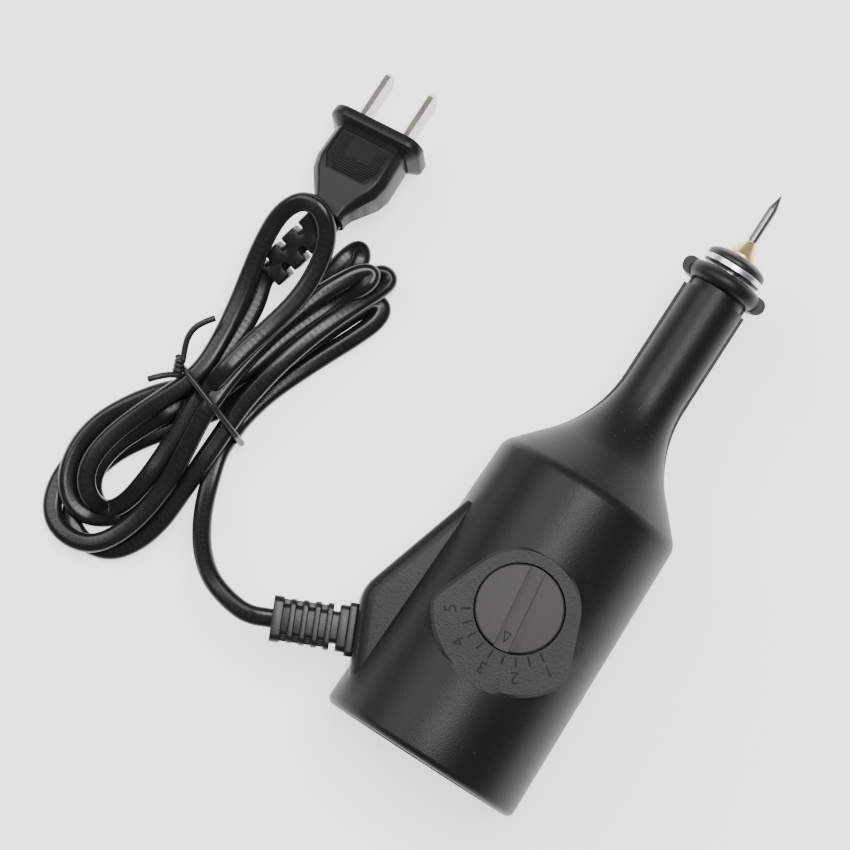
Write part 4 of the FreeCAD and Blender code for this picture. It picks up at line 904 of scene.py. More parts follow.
RUNS = (
    Run((0, 0), (
        (-41.3, 80.2), (-35.8, 80.0), (-28.0, 78.3), (-19.9, 75.2), (-10.9, 71.2), (-2.8, 67.4),
        (3.5, 64.9), (7.4, 65.3), (7.6, 68.3), (2.3, 70.7), (-6.1, 74.3), (-15.4, 78.1),
        (-24.3, 81.4), (-31.4, 83.6), (-37.1, 86.0),
    )),
    Run((0, 0), (
        (-42.2, 90.2), (-48.0, 94.0), (-54.0, 98.5), (-60.1, 102.1), (-66.7, 104.2),
        (-73.7, 105.0), (-79.4, 103.9), (-83.3, 99.5), (-83.8, 93.9),
    )),
    Run((0, 2), (
        (-81.7, 88.8), (-76.1, 84.9), (-68.8, 82.8), (-60.1, 82.4), (-51.0, 82.3), (-43.3, 82.0),
        (-35.2, 81.9),
    )),
    Run((2, 2), (
        (-28.3, 81.1), (-18.4, 79.2), (-7.2, 75.9), (3.0, 71.9), (9.8, 68.7), (14.2, 67.5),
        (14.4, 71.0),
    )),
    Run((1, 1), (
        (7.3, 74.0), (-0.5, 77.2), (-9.1, 80.7), (-18.3, 83.8), (-26.6, 86.0), (-33.4, 88.4),
        (-38.6, 91.8), (-43.8, 96.8), (-49.2, 101.6), (-55.1, 106.1), (-62.0, 109.1),
        (-68.6, 110.4), (-74.4, 110.6), (-79.9, 109.0), (-83.7, 105.7), (-85.1, 100.5),
        (-83.5, 94.5),
    )),
    Run((1, 3), (
        (-78.2, 90.4), (-70.5, 87.8), (-61.1, 86.7), (-52.2, 87.1), (-43.8, 88.1), (-36.4, 88.3),
    )),
    Run((3, 3), (
        (-28.5, 87.8), (-19.6, 86.4), (-10.1, 84.2), (-1.2, 81.3), (5.9, 77.9), (11.0, 75.0),
        (12.8, 71.9), (9.0, 71.9),
    )),
    Run((1.5, 1.5), (
        (3.1, 75.8), (-5.3, 79.4), (-14.5, 82.5), (-23.6, 84.9), (-30.8, 87.8),
    )),
    Run((2, 2), (
        (-34.7, 92.1), (-37.8, 96.9), (-41.8, 101.0), (-48.0, 105.6), (-55.5, 109.6),
        (-62.8, 111.1), (-69.6, 110.3), (-74.9, 107.6), (-77.9, 103.2), (-77.6, 98.3),
    )),
    Run((0.5, 1), (
        (-74.5, 93.5), (-68.7, 90.4), (-60.9, 89.4), (-52.2, 89.4), (-44.1, 89.7), (-36.3, 89.9),
    )),
    Run((1, 1), (
        (-28.0, 88.8), (-19.3, 87.0), (-9.6, 84.9), (-0.7, 82.8), (7.5, 81.3), (13.6, 80.3),
        (17.2, 78.4), (13.9, 76.2), (8.5, 77.4),
    )),
    Run((0.7, 0.7), (
        (0.4, 80.0), (-8.9, 82.7), (-18.3, 84.9), (-27.0, 87.2), (-33.6, 89.8),
    )),
    Run((1, 1), (
        (-38.5, 93.4), (-44.3, 96.4), (-51.6, 100.0), (-58.5, 103.1), (-65.6, 104.2),
        (-71.0, 102.7), (-74.4, 98.8),
    )),
    Run((0.5, 2), (
        (-73.7, 94.0), (-68.3, 91.5), (-60.5, 90.5), (-52.2, 90.5), (-43.4, 91.0), (-36.1, 90.8),
    )),
    Run((4, 4), (
        (-29.6, 90.1), (-21.4, 88.6), (-12.9, 86.2), (-3.8, 84.1), (5.3, 84.0), (13.7, 86.0),
        (18.5, 91.1), (18.1, 96.8), (12.1, 99.8), (3.3, 99.3), (-4.4, 97.9), (-11.8, 96.4),
        (-20.7, 95.1), (-29.2, 94.7),
    ), (3, 5, 8, 13, 18.5, 22.5, 24.3, 23.0, 19.5, 15.0, 10.5, 7.0, 4.5, 3)),
    Run((3, 3), (
        (-35.2, 95.9), (-41.5, 98.6), (-49.3, 102.2), (-57.1, 105.1), (-64.7, 106.3),
        (-70.5, 104.8), (-74.1, 100.7),
    )),
    Run((0.8, 2), (
        (-74.2, 95.9), (-69.6, 92.9), (-62.0, 91.7), (-53.9, 91.4), (-45.6, 91.4), (-37.7, 92.0),
    )),
    Run((2, 1.5), (
        (-30.5, 92.1), (-23.0, 92.1), (-15.6, 92.0), (-9.3, 92.6),
    ), (3, 5, 7.5, 9.6)),
)

INTO_SLEEVE = ((-3.8, 94.4, 11.3), (-1.21, 93.95, 11.91), (4.39, 92.55, 13.56))


@dataclass
class Flex:
    """The flat flex: strain relief, lead, tied hank and plug strand, in one piece.

    Attributes:
        width: Width of the flat section.
        thickness: Its thickness.
        length: Real length outside the tool; not used.
        gap: Height that two crossing strands keep, as a share of the thickness.
        rounds: Rounds in which the strands settle.
        reach: Stretch of flex, in mm, within which strands don't rest on each other.
        fall: Drop of a free strand in the first round, in mm.
        spline: Points of the settled line.
    """

    width: float = 0.0049
    thickness: float = 0.0037
    length: float = 1.166
    gap: float = 1.03
    rounds: int = 260
    reach: float = 14.0
    fall: float = 0.10
    spline: np.ndarray = field(default_factory=lambda: np.zeros((0, 3)))

    @staticmethod
    def _basis(count: int, steps: int) -> np.ndarray:
        """Weights of the control points along a clamped quadratic spline.

        Args:
            count: Number of control points.
            steps: Samples in each span.

        Returns:
            One row of weights per sample.
        """
        spans = count - 2
        rows = np.zeros((spans * steps + 1, count))
        knots = np.concatenate(([0, 0, 0], np.arange(1, spans), [spans] * 3)).astype(float)
        for row, t in enumerate(np.linspace(0, spans, spans * steps + 1)):
            k = min(int(t), spans - 1) + 2
            left, right = knots[k - 1], knots[k + 2]
            start, end = knots[k], knots[k + 1]
            a = (end - t) / (end - start)
            first, second = (t - left) / (end - left), (t - start) / (right - start)
            rows[row, k - 2] = (1 - first) * a
            rows[row, k - 1] = first * a + (1 - second) * (1 - a)
            rows[row, k] = second * (1 - a)
        return rows

    def _lay(self) -> np.ndarray:
        """Let the runs settle on the floor and on each other.

        Returns:
            The route's control points in metres.
        """
        places, layers, floors, held = [], [], [], []
        for point in LEAD:
            places.append(point)
            layers.append(1.0)
            floors.append(point[2])
            held.append(True)
        for run in RUNS:
            for k, (x, y) in enumerate(run.places):
                share = k / max(1, len(run.places) - 1)
                layer = run.layer[0] + (run.layer[1] - run.layer[0]) * share
                places.append((x, y, 1.85 + layer * 3.0))
                layers.append(layer)
                floors.append(max(run.lift[k] if run.lift else 0.0, self.thickness / MM / 2))
                held.append(False)
        for point in INTO_SLEEVE:
            places.append(point)
            layers.append(2.0)
            floors.append(point[2])
            held.append(True)
        route = np.array(places, float)
        free = ~np.array(held)
        low = np.array(floors)
        weights = self._basis(len(route), 6)
        plan = weights @ route[:, :2]
        layer = weights @ np.array(layers)
        along = np.concatenate(([0], np.cumsum(np.linalg.norm(np.diff(plan, axis=0), axis=1))))
        wide, thick = self.width / MM, self.thickness / MM * self.gap
        apart = np.linalg.norm(plan[:, None] - plan[None], axis=2)
        near = (apart < wide * 0.98) & (np.abs(along[:, None] - along[None]) > self.reach)
        first, second = np.nonzero(np.triu(near))
        need = thick * np.sqrt(1 - (apart[first, second] / wide) ** 2)
        side = layer[second] - layer[first]
        side = np.where(np.abs(side) < 0.05, 1.0, np.sign(side))
        share = weights.sum(axis=0)
        height = route[:, 2].copy()
        for step in range(self.rounds):
            calm = 1.0 - step / self.rounds
            height[free] -= self.fall * calm
            line = weights @ height
            lack = need - side * (line[second] - line[first])
            push = np.clip(lack, 0, None) * side * 0.5
            up = np.zeros(len(line))
            down = np.zeros(len(line))
            np.maximum.at(up, second, push)
            np.minimum.at(down, second, push)
            np.maximum.at(up, first, -push)
            np.minimum.at(down, first, -push)
            change = weights.T @ (up + down) / share
            height[free] += change[free] * 1.2
            soft = height.copy()
            soft[1:-1] = (height[:-2] + height[2:]) / 2
            height[free] += (soft - height)[free] * 0.22 * (0.3 + 0.7 * calm)
            height[free] = np.maximum(height, low)[free]
        LOG.info("hank: highest point of the line %.1f mm", (weights @ height).max())
        route[:, 2] = height
        return route * MM

    def _curve(self, route: np.ndarray) -> np.ndarray:
        """Read the smooth line of the route's NURBS spline.

        Args:
            route: Control points in metres.

        Returns:
            Points along the line.
        """
        data = bpy.data.curves.new("flex_line", "CURVE")
        data.dimensions = "3D"
        spline = data.splines.new("NURBS")
        spline.points.add(len(route) - 1)
        for point, place in zip(spline.points, route):
            point.co = (*place, 1.0)
        spline.order_u = 3
        spline.use_endpoint_u = True
        spline.resolution_u = 9
        holder = bpy.data.objects.new("flex_line", data)
        bpy.context.collection.objects.link(holder)
        bpy.context.view_layer.update()
        mesh = bpy.data.meshes.new_from_object(holder)
        line = np.array([vert.co for vert in mesh.vertices])
        bpy.data.objects.remove(holder)
        bpy.data.meshes.remove(mesh)
        keep = np.concatenate(([True], np.linalg.norm(np.diff(line, axis=0), axis=1) > 2e-5))
        return line[keep]

    def _section(self, count: int = 22) -> np.ndarray:
        """The flat section: two rounded cores with a faint hollow between them.

        Args:
            count: Points round it.

        Returns:
            Points across and up, in metres.
        """
        turn = np.arange(count) / count * math.tau
        cos, sin = np.cos(turn), np.sin(turn)
        power = 2 / 2.5
        across = np.sign(cos) * np.abs(cos) ** power * self.width / 2
        up = np.sign(sin) * np.abs(sin) ** power * self.thickness / 2
        up = up * (1 - 0.07 * np.exp(-((across / 0.0009) ** 2)))
        return np.stack((across, up), axis=1)

    def _tube(self, line: np.ndarray) -> bpy.types.Object:
        """Sweep the section along the line, its flat side turned slowly to and fro.

        Args:
            line: Points along the line.

        Returns:
            The flex's object.
        """
        step = np.linalg.norm(np.diff(line, axis=0), axis=1)
        along = np.concatenate(([0], np.cumsum(step)))
        heading = np.gradient(line, along, axis=0)
        heading /= np.linalg.norm(heading, axis=1)[:, None]
        side = np.cross(heading, (0, 0, 1.0))
        side /= np.linalg.norm(side, axis=1)[:, None]
        up = np.cross(side, heading)
        roll = np.radians(9) * np.sin(along * 41) + np.radians(7) * np.sin(along * 97 + 1)
        wide = side * np.cos(roll)[:, None] + up * np.sin(roll)[:, None]
        high = up * np.cos(roll)[:, None] - side * np.sin(roll)[:, None]
        section = self._section()
        count = len(section)
        rings = (
            line[:, None] + wide[:, None] * section[None, :, :1]
            + high[:, None] * section[None, :, 1:]
        )
        rings[..., 2] = np.maximum(rings[..., 2], 0.00002)
        mesh = bpy.data.meshes.new("flex")
        faces = [
            (r * count + (c + 1) % count, r * count + c,
             (r + 1) * count + c, (r + 1) * count + (c + 1) % count)
            for r in range(len(line) - 1) for c in range(count)
        ]
        last = (len(line) - 1) * count
        faces.append(tuple(range(count)))
        faces.append(tuple(last + c for c in reversed(range(count))))
        mesh.from_pydata(rings.reshape(-1, 3), [], faces)
        layout = mesh.uv_layers.new(name="lay")
        for face in mesh.polygons:
            for corner in face.loop_indices:
                index = mesh.loops[corner].vertex_index
                ring, c = divmod(index, count)
                v = c / count
                if v == 0.0 and face.index % count == count - 1:
                    v = 1.0
                layout.data[corner].uv = (along[ring], v)
        piece = bpy.data.objects.new("flex", mesh)
        bpy.context.collection.objects.link(piece)
        Bench.outward(piece)
        Bench.smooth(piece, 60.0)
        LOG.info("flex: %.3f m long", along[-1])
        return piece

    def build(self, report: Report, rides_with: Sequence[bpy.types.Object]) -> None:
        """Args:
            report: Where pieces are registered.
            rides_with: The pieces on the flex: tie and plug; not used.
        """
        line = self.line()
        piece = self._tube(line)
        report.piece(piece, "housing", "flex_black", Finish.FLEX, "cord_lead", "cord_hank")

    def line(self) -> np.ndarray:
        """The line that the flex follows, worked out once.

        Returns:
            Points in metres.
        """
        if not len(self.spline):
            self.spline = self._curve(self._lay())
        return self.spline


def tube_along(name: str, points: Sequence[Point], radius: float) -> bpy.types.Object:
    """A round wire along a smooth line.

    Args:
        name: The object's name.
        points: Control points in metres.
        radius: The wire's radius.

    Returns:
        The wire as a mesh.
    """
    data = bpy.data.curves.new(name, "CURVE")
    data.dimensions = "3D"
    data.bevel_depth = radius
    data.bevel_resolution = 3
    data.use_fill_caps = True
    spline = data.splines.new("NURBS")
    spline.points.add(len(points) - 1)
    for point, place in zip(spline.points, points):
        point.co = (*place, 1.0)
    spline.order_u = 3
    spline.use_endpoint_u = True
    spline.resolution_u = 8
    piece = bpy.data.objects.new(name, data)
    bpy.context.collection.objects.link(piece)
    piece = Bench.mesh_of(piece)
    Bench.smooth(piece, 50.0)
    return piece


@dataclass
class Tie:
    """Plastic-covered wire wound once round the hank's waist, twisted at its side.

    Attributes:
        place: Middle of the waist, seen from above.
        turn: Direction across the hank.
        radius: The wire's radius.
        band: Half the width in which the strands count as under the tie.
        swing: Radius of the twist.
    """

    place: tuple[float, float] = (-0.0372, 0.0883)
    turn: float = math.radians(70.9)
    radius: float = 0.0008
    band: float = 0.0016
    swing: float = 0.00085

    def _hull(self, line: np.ndarray, offset: float) -> list[Point]:
        """A loop that hugs the strands in one plane across the hank.

        Args:
            line: The flex's line.
            offset: Distance from the strands' surface.

        Returns:
            Points round the loop, starting and ending at the knot's side.
        """
        across = np.array((math.cos(self.turn), math.sin(self.turn)))
        along = np.array((-across[1], across[0]))
        flat = line[:, :2] - np.array(self.place)
        close = np.abs(flat @ along) < self.band
        spots = np.stack((flat[close] @ across, line[close, 2]), axis=1)
        points = []
        for angle in np.linspace(math.radians(40), math.radians(40) + math.tau, 49):
            way = np.array((math.cos(angle), math.sin(angle)))
            grown = np.array((0.00245 + offset, 0.00185 + offset))
            spread = grown * grown * way
            spread /= math.sqrt((grown * way) @ (grown * way))
            spot = spots[np.argmax(spots @ way)] + spread
            spot[1] = max(spot[1], self.radius)
            place = np.array(self.place) + across * spot[0]
            points.append((float(place[0]), float(place[1]), float(spot[1])))
        return points

    def build(self, report: Report, line: np.ndarray) -> bpy.types.Object:
        """Make the tie.

        Args:
            report: Where pieces are registered.
            line: The flex's line.

        Returns:
            The tie.
        """
        loop = self._hull(line, self.radius)
        wound = tube_along("tie_wound", loop, self.radius)
        knot = Vector(loop[0]) + Vector((-0.0016, 0.0010, 0.0006))
        coils = []
        for phase in (0.0, math.pi):
            points = []
            for k in range(11):
                share = k / 10
                angle = phase + share * math.tau * 1.5
                points.append((
                    knot.x + share * 0.0032 + 0.3 * self.swing * math.cos(angle),
                    knot.y + share * 0.0012 + self.swing * math.cos(angle),
                    knot.z + 0.0003 * share + self.swing * math.sin(angle),
                ))
            coils.append(points)
        end = Vector(coils[0][-1])
        long_tail = coils[0] + [
            tuple(end + Vector(step)) for step in (
                (0.0022, 0.0010, 0.0003), (0.0060, 0.0024, 0.0012), (0.0102, 0.0018, 0.0019),
                (0.0136, -0.0010, 0.0022),
            )
        ]
        start = Vector(coils[1][0])
        short_tail = [
            tuple(start + Vector(step)) for step in (
                (-0.0052, 0.0060, 0.0012), (-0.0036, 0.0046, 0.0016), (-0.0014, 0.0024, 0.0008),
            )
        ] + coils[1]
        pieces = [
            wound, tube_along("tie_long", long_tail, self.radius),
            tube_along("tie_short", short_tail, self.radius),
        ]
        tie = Bench.join("flex_tie", pieces)
        return report.piece(tie, "housing", "soft_black", Finish.TIE, "cord_tie")


# ---------------------------------------------------------------------------------------------
# Studio
# ---------------------------------------------------------------------------------------------

@dataclass(frozen=True)
class Studio:
    """Pale floor, two soft lamps and a camera that looks down on the tool."""

    middle: Point = (-0.0129, 0.0402, 0.027)
    distance: float = 1.2
    tilt: float = math.radians(2.4)
    lens: float = 204.0

    def camera(self) -> None:
        """Set up the camera."""
        toward = Vector((-math.sin(self.tilt), 0.0, math.cos(self.tilt)))
        up = Vector((0.839, 0.544, 0.0))
        up = (up - toward * up.dot(toward)).normalized()
        right = up.cross(toward)
        turn = Matrix((right, up, toward)).transposed().to_4x4()
        data = bpy.data.cameras.new("camera")
        data.lens = self.lens
        data.sensor_width = 36.0
        data.clip_end = 20.0
        eye = bpy.data.objects.new("camera", data)
        bpy.context.scene.collection.objects.link(eye)
        eye.matrix_world = Matrix.Translation(
            Vector(self.middle) + toward * self.distance
        ) @ turn
        bpy.context.scene.camera = eye

    def floor(self) -> None:
        """Make the floor."""
        Bench.clear()
        bpy.ops.mesh.primitive_plane_add(size=12.0, location=(0.0, 0.0, -0.00005))
        floor = bpy.context.active_object
        floor.name = "floor"
        graph = Graph("floor_paper")
        cloud = graph.noise(3.0, 2.0)
        colour = graph.blend(cloud, (0.93, 0.93, 0.93), (0.95, 0.95, 0.95))
        floor.data.materials.append(graph.finish(
            Base_Color=colour, Roughness=0.9, Specular_IOR_Level=0.1,
            Emission_Color=(1.0, 1.0, 1.0, 1.0), Emission_Strength=1.5,
        ))

    @staticmethod
    def lamp(
        name: str, place: Point, aim: Point, size: tuple[float, float], power: float
    ) -> None:
        """Add one soft rectangular lamp.

        Args:
            name: Its name.
            place: Where it hangs.
            aim: What it points at.
            size: Its two sides in metres.
            power: Its power in watts.
        """
        data = bpy.data.lights.new(name, "AREA")
        data.shape = "RECTANGLE"
        data.size, data.size_y = size
        data.energy = power
        lamp = bpy.data.objects.new(name, data)
        bpy.context.scene.collection.objects.link(lamp)
        way = Vector(aim) - Vector(place)
        lamp.location = place
        lamp.rotation_euler = way.to_track_quat("-Z", "Y").to_euler()

    def light(self) -> None:
        """Set up the surroundings and the lamps."""
        world = bpy.data.worlds.new("surroundings")
        world.use_nodes = True
        background = world.node_tree.nodes["Background"]
        background.inputs["Color"].default_value = (1.0, 1.0, 1.0, 1.0)
        background.inputs["Strength"].default_value = 0.19
        bpy.context.scene.world = world
        aim = self.middle
        self.lamp("lamp_top", (0.50, 0.05, 2.1), aim, (1.0, 1.0), 46.0)
        self.lamp("lamp_left", (0.15, 0.95, 1.10), aim, (0.9, 0.9), 12.0)

    def build(self) -> None:
        """Make the studio."""
        self.camera()
        self.floor()
        self.light()


# ---------------------------------------------------------------------------------------------
# Housing and dial
# ---------------------------------------------------------------------------------------------

@dataclass(frozen=True)
class DialFace:
    """Scale of the stroke dial.

    Attributes:
        plane: Height of the flat above the tool axis.
        marks: Number of scale marks.
        pitch: Degrees between them.
        mark_start: Distance of a mark's inner end from the dial's axis.
        mark_length: Length of a mark.
        digit_radius: Distance of the digits' middles from the dial's axis.
        digit_size: Height of the font.
    """

    plane: float = 0.0258
    marks: int = 9
    pitch: float = 14.4
    mark_start: float = 0.0119
    mark_length: float = 0.0024
    mark_width: float = 0.00048
    digit_radius: float = 0.0168
    digit_size: float = 0.0044


@dataclass
class Housing:
    """Both shells, the rear plate and the scale round the dial."""

    face: DialFace = field(default_factory=DialFace)

    def _marks(self) -> bpy.types.Object:
        """The floors of the scale marks, near black with painted shade.

        Returns:
            The marks.
        """
        face = self.face
        pieces = []
        for step in range(face.marks):
            angle = math.radians(180 + (step - (face.marks - 1) / 2) * face.pitch)
            bar = Bench.block(
                f"mark_{step}",
                (face.mark_start + 0.00005, -face.mark_width / 2, face.plane - 0.00028),
                (face.mark_start + face.mark_length, face.mark_width / 2, face.plane - 0.00012),
            )
            pieces.append(Bench.put(bar, Matrix.Rotation(angle, 4, "Z")))
        return Bench.put(Bench.join("dial_marks", pieces), LIE.dial())

    def _digits(self) -> bpy.types.Object:
        """The five numbers of the scale, their tops outward, near black with painted shade.

        Returns:
            The digits.
        """
        face = self.face
        pieces = []
        for step, digit in enumerate("54321"):
            angle = math.radians(180 + (step - 2) * 2 * face.pitch)
            Bench.clear()
            bpy.ops.object.text_add(location=(0.0, 0.0, 0.0))
            text = bpy.context.active_object
            text.data.body = digit
            text.data.size = face.digit_size
            text.data.align_x = "CENTER"
            text.data.align_y = "CENTER"
            text.data.extrude = 0.00003
            text.data.resolution_u = 6
            text = Bench.mesh_of(text)
            place = (
                math.cos(angle) * face.digit_radius, math.sin(angle) * face.digit_radius,
                face.plane + 0.00002,
            )
            turn = Matrix.Rotation(angle - math.pi / 2, 4, "Z")
            pieces.append(Bench.put(text, Matrix.Translation(place) @ turn))
        return Bench.put(Bench.join("dial_digits", pieces), LIE.dial())

    def _beads(self) -> bpy.types.Object:
        """A short arc of small raised dots on the rear plate.

        Returns:
            The dots.
        """
        pieces = []
        for step in range(11):
            angle = math.radians(-160 + step * 14)
            Bench.clear()
            place = (
                0.00025, -0.0021 + 0.0031 * math.cos(angle), 0.0216 + 0.0031 * math.sin(angle)
            )
            bpy.ops.mesh.primitive_uv_sphere_add(
                segments=14, ring_count=8, radius=0.00032, location=place
            )
            bpy.ops.object.transform_apply(location=True, rotation=True, scale=True)
            pieces.append(bpy.context.active_object)
        beads = Bench.put(Bench.join("rear_dots", pieces), LIE.matrix())
        Bench.smooth(beads, 80.0)
        return beads

    def build(self, report: Report, nodes: dict[str, bpy.types.Object]) -> None:
        """Make the housing's visible pieces.

        Args:
            report: Where pieces are registered.
            nodes: The CAD nodes.
        """
        for name, finish in (
            ("upper_shell", Finish.SHELL), ("lower_shell", Finish.SHELL),
            ("rear_plate", Finish.REAR),
        ):
            shell = Bench.merged_copy(nodes[name], f"{name}_skin")
            report.piece(shell, "housing", "shell_black", finish, name)
        # The marks and digits take the near-black painted shade.
        report.piece(self._marks(), "housing", "shell_black", Finish.ENGRAVED)
        report.piece(self._digits(), "housing", "shell_black", Finish.ENGRAVED)
        report.piece(self._beads(), "housing", "shell_black", Finish.DOT)


@dataclass
class Dial:
    """The slotted knob with an outlined triangle in its slot."""

    floor: float = 0.0249
    point: float = 0.00885
    length: float = 0.0024
    half: float = 0.00075
    line: float = 0.00022

    def _triangle(self) -> bpy.types.Object:
        """The triangle's outline, raised on the slot's floor, near black with painted shade.

        Returns:
            The outline.
        """
        corners = [
            (self.point, 0.0), (self.point - self.length, self.half),
            (self.point - self.length, -self.half),
        ]
        pieces = []
        for step, start in enumerate(corners):
            end = corners[(step + 1) % 3]
            way = Vector((end[0] - start[0], end[1] - start[1], 0.0))
            half = self.line / 2
            bar = Bench.block(
                f"side_{step}", (-half, -half, 0.0), (way.length + half, half, 0.00042)
            )
            turn = Matrix.Rotation(math.atan2(way.y, way.x), 4, "Z")
            place = Matrix.Translation((start[0], start[1], self.floor - 0.00002))
            pieces.append(Bench.put(bar, place @ turn))
        return Bench.put(Bench.join("knob_triangle", pieces), LIE.dial(187.4))

    def build(self, report: Report, nodes: dict[str, bpy.types.Object]) -> None:
        """Make the knob.

        Args:
            report: Where pieces are registered.
            nodes: The CAD nodes.
        """
        knob = Bench.merged_copy(nodes["dial_knob"], "knob")
        report.piece(knob, "dial", "knob_black", Finish.KNOB, "dial_knob")
        # The triangle takes the near-black painted shade.
        report.piece(self._triangle(), "dial", "knob_black", Finish.ENGRAVED)


# ---------------------------------------------------------------------------------------------
# Nose
# ---------------------------------------------------------------------------------------------

@dataclass
class Nose:
    """Washer, rubber dome, brass chuck nut and tip, turned about the tool's axis."""

    washer: float = 0.1443
    dome: float = 0.1463
    nut: float = 0.1486
    shoulder: float = 0.1640
    end: float = 0.1680

    def build(self, report: Report) -> None:
        """Make the nose pieces.

        Args:
            report: Where pieces are registered.
        """
        x = self.washer
        washer = Bench.turned("washer", [
            (x, 0.00252), (x, 0.0076), (x + 0.00015, 0.0079), (x + 0.0004, 0.0081),
            (x + 0.0016, 0.0081), (x + 0.00185, 0.0079), (x + 0.0020, 0.0076),
            (x + 0.0020, 0.00252), (x, 0.00252),
        ])
        x = self.dome
        dome = Bench.turned("dome", [
            (x, 0.00252), (x, 0.0079), (x + 0.00012, 0.0080), (x + 0.0006, 0.00805),
            (x + 0.0011, 0.00790), (x + 0.0016, 0.0075), (x + 0.0020, 0.0069),
            (x + 0.0024, 0.0061), (x + 0.0027, 0.0053), (x + 0.00275, 0.0048),
            (x + 0.00275, 0.0044), (x + 0.0027, 0.0043), (x + 0.0021, 0.0043),
            (x + 0.0021, 0.00252), (x, 0.00252),
        ])
        x = self.nut
        nut = Bench.turned("cone", [
            (x, 0.00256), (x, 0.0037), (x + 0.0001, 0.0038), (x + 0.0007, 0.0038),
            (x + 0.0008, 0.0037), (x + 0.00085, 0.0035), (x + 0.0012, 0.0035),
            (x + 0.0013, 0.00345), (x + 0.0032, 0.0024), (x + 0.0050, 0.00160),
            (x + 0.0052, 0.00150), (x + 0.0053, 0.00135), (x + 0.0053, 0.00107),
            (x + 0.0015, 0.00107), (x, 0.00256),
        ])
        tip = Bench.turned("point", [
            (0.1320, 0.0), (0.1320, 0.00098), (0.1544, 0.00098), (0.1544, 0.00115),
            (0.15445, 0.0012), (self.shoulder - 0.0002, 0.0012), (self.shoulder, 0.00118),
            (self.end - 0.0001, 0.00012), (self.end, 0.00005), (self.end, 0.0),
        ], 64)
        for piece in (washer, dome, nut, tip):
            Bench.put(piece, LIE.matrix())
            Bench.smooth(piece, 30.0)
        report.piece(washer, "striker", "bright_steel", Finish.STEEL, "nose_washer")
        report.piece(dome, "striker", "soft_black", Finish.BOOT, "nose_boot")
        report.piece(nut, "nut", "nut_brass", Finish.BRASS, "chuck_nut")
        report.piece(tip, "tip", "tip_steel", Finish.TIP, "engraving_tip")


# ---------------------------------------------------------------------------------------------
# Strain relief and plug
# ---------------------------------------------------------------------------------------------

def lengthwise(_: Vector, way: Vector) -> bool:
    """Whether an edge runs along X."""
    return abs(way.x) > 0.9


@dataclass
class Relief:
    """Ribbed sleeve where the flex leaves the hump."""

    ribs: int = 5
    start: float = 0.0060
    pitch: float = 0.0031

    def build(self, report: Report) -> bpy.types.Object:
        """Make the strain relief.

        Args:
            report: Where pieces are registered.

        Returns:
            The strain relief.
        """
        mm = MM
        flange = Bench.block(
            "relief_flange", (0.1 * mm, -6.75 * mm, -5.0 * mm), (2.1 * mm, 6.75 * mm, 5.0 * mm)
        )
        Bench.round_edges(flange, 1.3 * mm, lengthwise, 5)
        step = Bench.block(
            "relief_step", (2.0 * mm, -5.9 * mm, -4.4 * mm), (4.4 * mm, 5.9 * mm, 4.4 * mm)
        )
        Bench.round_edges(step, 1.6 * mm, lengthwise, 5)
        core = Bench.block(
            "relief_core", (-4.4 * mm, -4.1 * mm, -3.0 * mm), (20.9 * mm, 4.1 * mm, 3.0 * mm)
        )
        Bench.round_edges(core, 1.4 * mm, lengthwise, 5)
        head = Bench.block(
            "relief_head", (-4.5 * mm, -5.6 * mm, -4.2 * mm), (-2.3 * mm, 5.6 * mm, 4.2 * mm)
        )
        pieces = [flange, step, core, head]
        for rib in range(self.ribs):
            last = rib == self.ribs - 1
            low = self.start + self.pitch * rib
            high = 0.0210 if last else low + 0.0015
            wide = 0.0059 - 0.00012 * rib if not last else 0.0058
            piece = Bench.block(f"rib_{rib}", (low, -wide, -0.0044), (high, wide, 0.0044))
            Bench.round_edges(piece, 2.0 * mm, lengthwise, 6)
            pieces.append(piece)
            if not last:
                web = Bench.block(
                    f"web_{rib}", (low + 0.0010, -0.0053, -0.0019),
                    (low + self.pitch + 0.0004, 0.0053, 0.0019),
                )
                pieces.append(web)
        for piece in pieces:
            Bench.soften(piece, 0.00028, 3)
        relief = Bench.join("relief", pieces)
        Bench.put(relief, LIE.outlet())
        Bench.smooth(relief, 35.0)
        return report.piece(relief, "housing", "relief_black", Finish.RELIEF, "strain_relief")


@dataclass(frozen=True)
class Station:
    """One section of the plug's grip, at a place along it."""

    x: float
    wide: float
    high: float
    cut: float


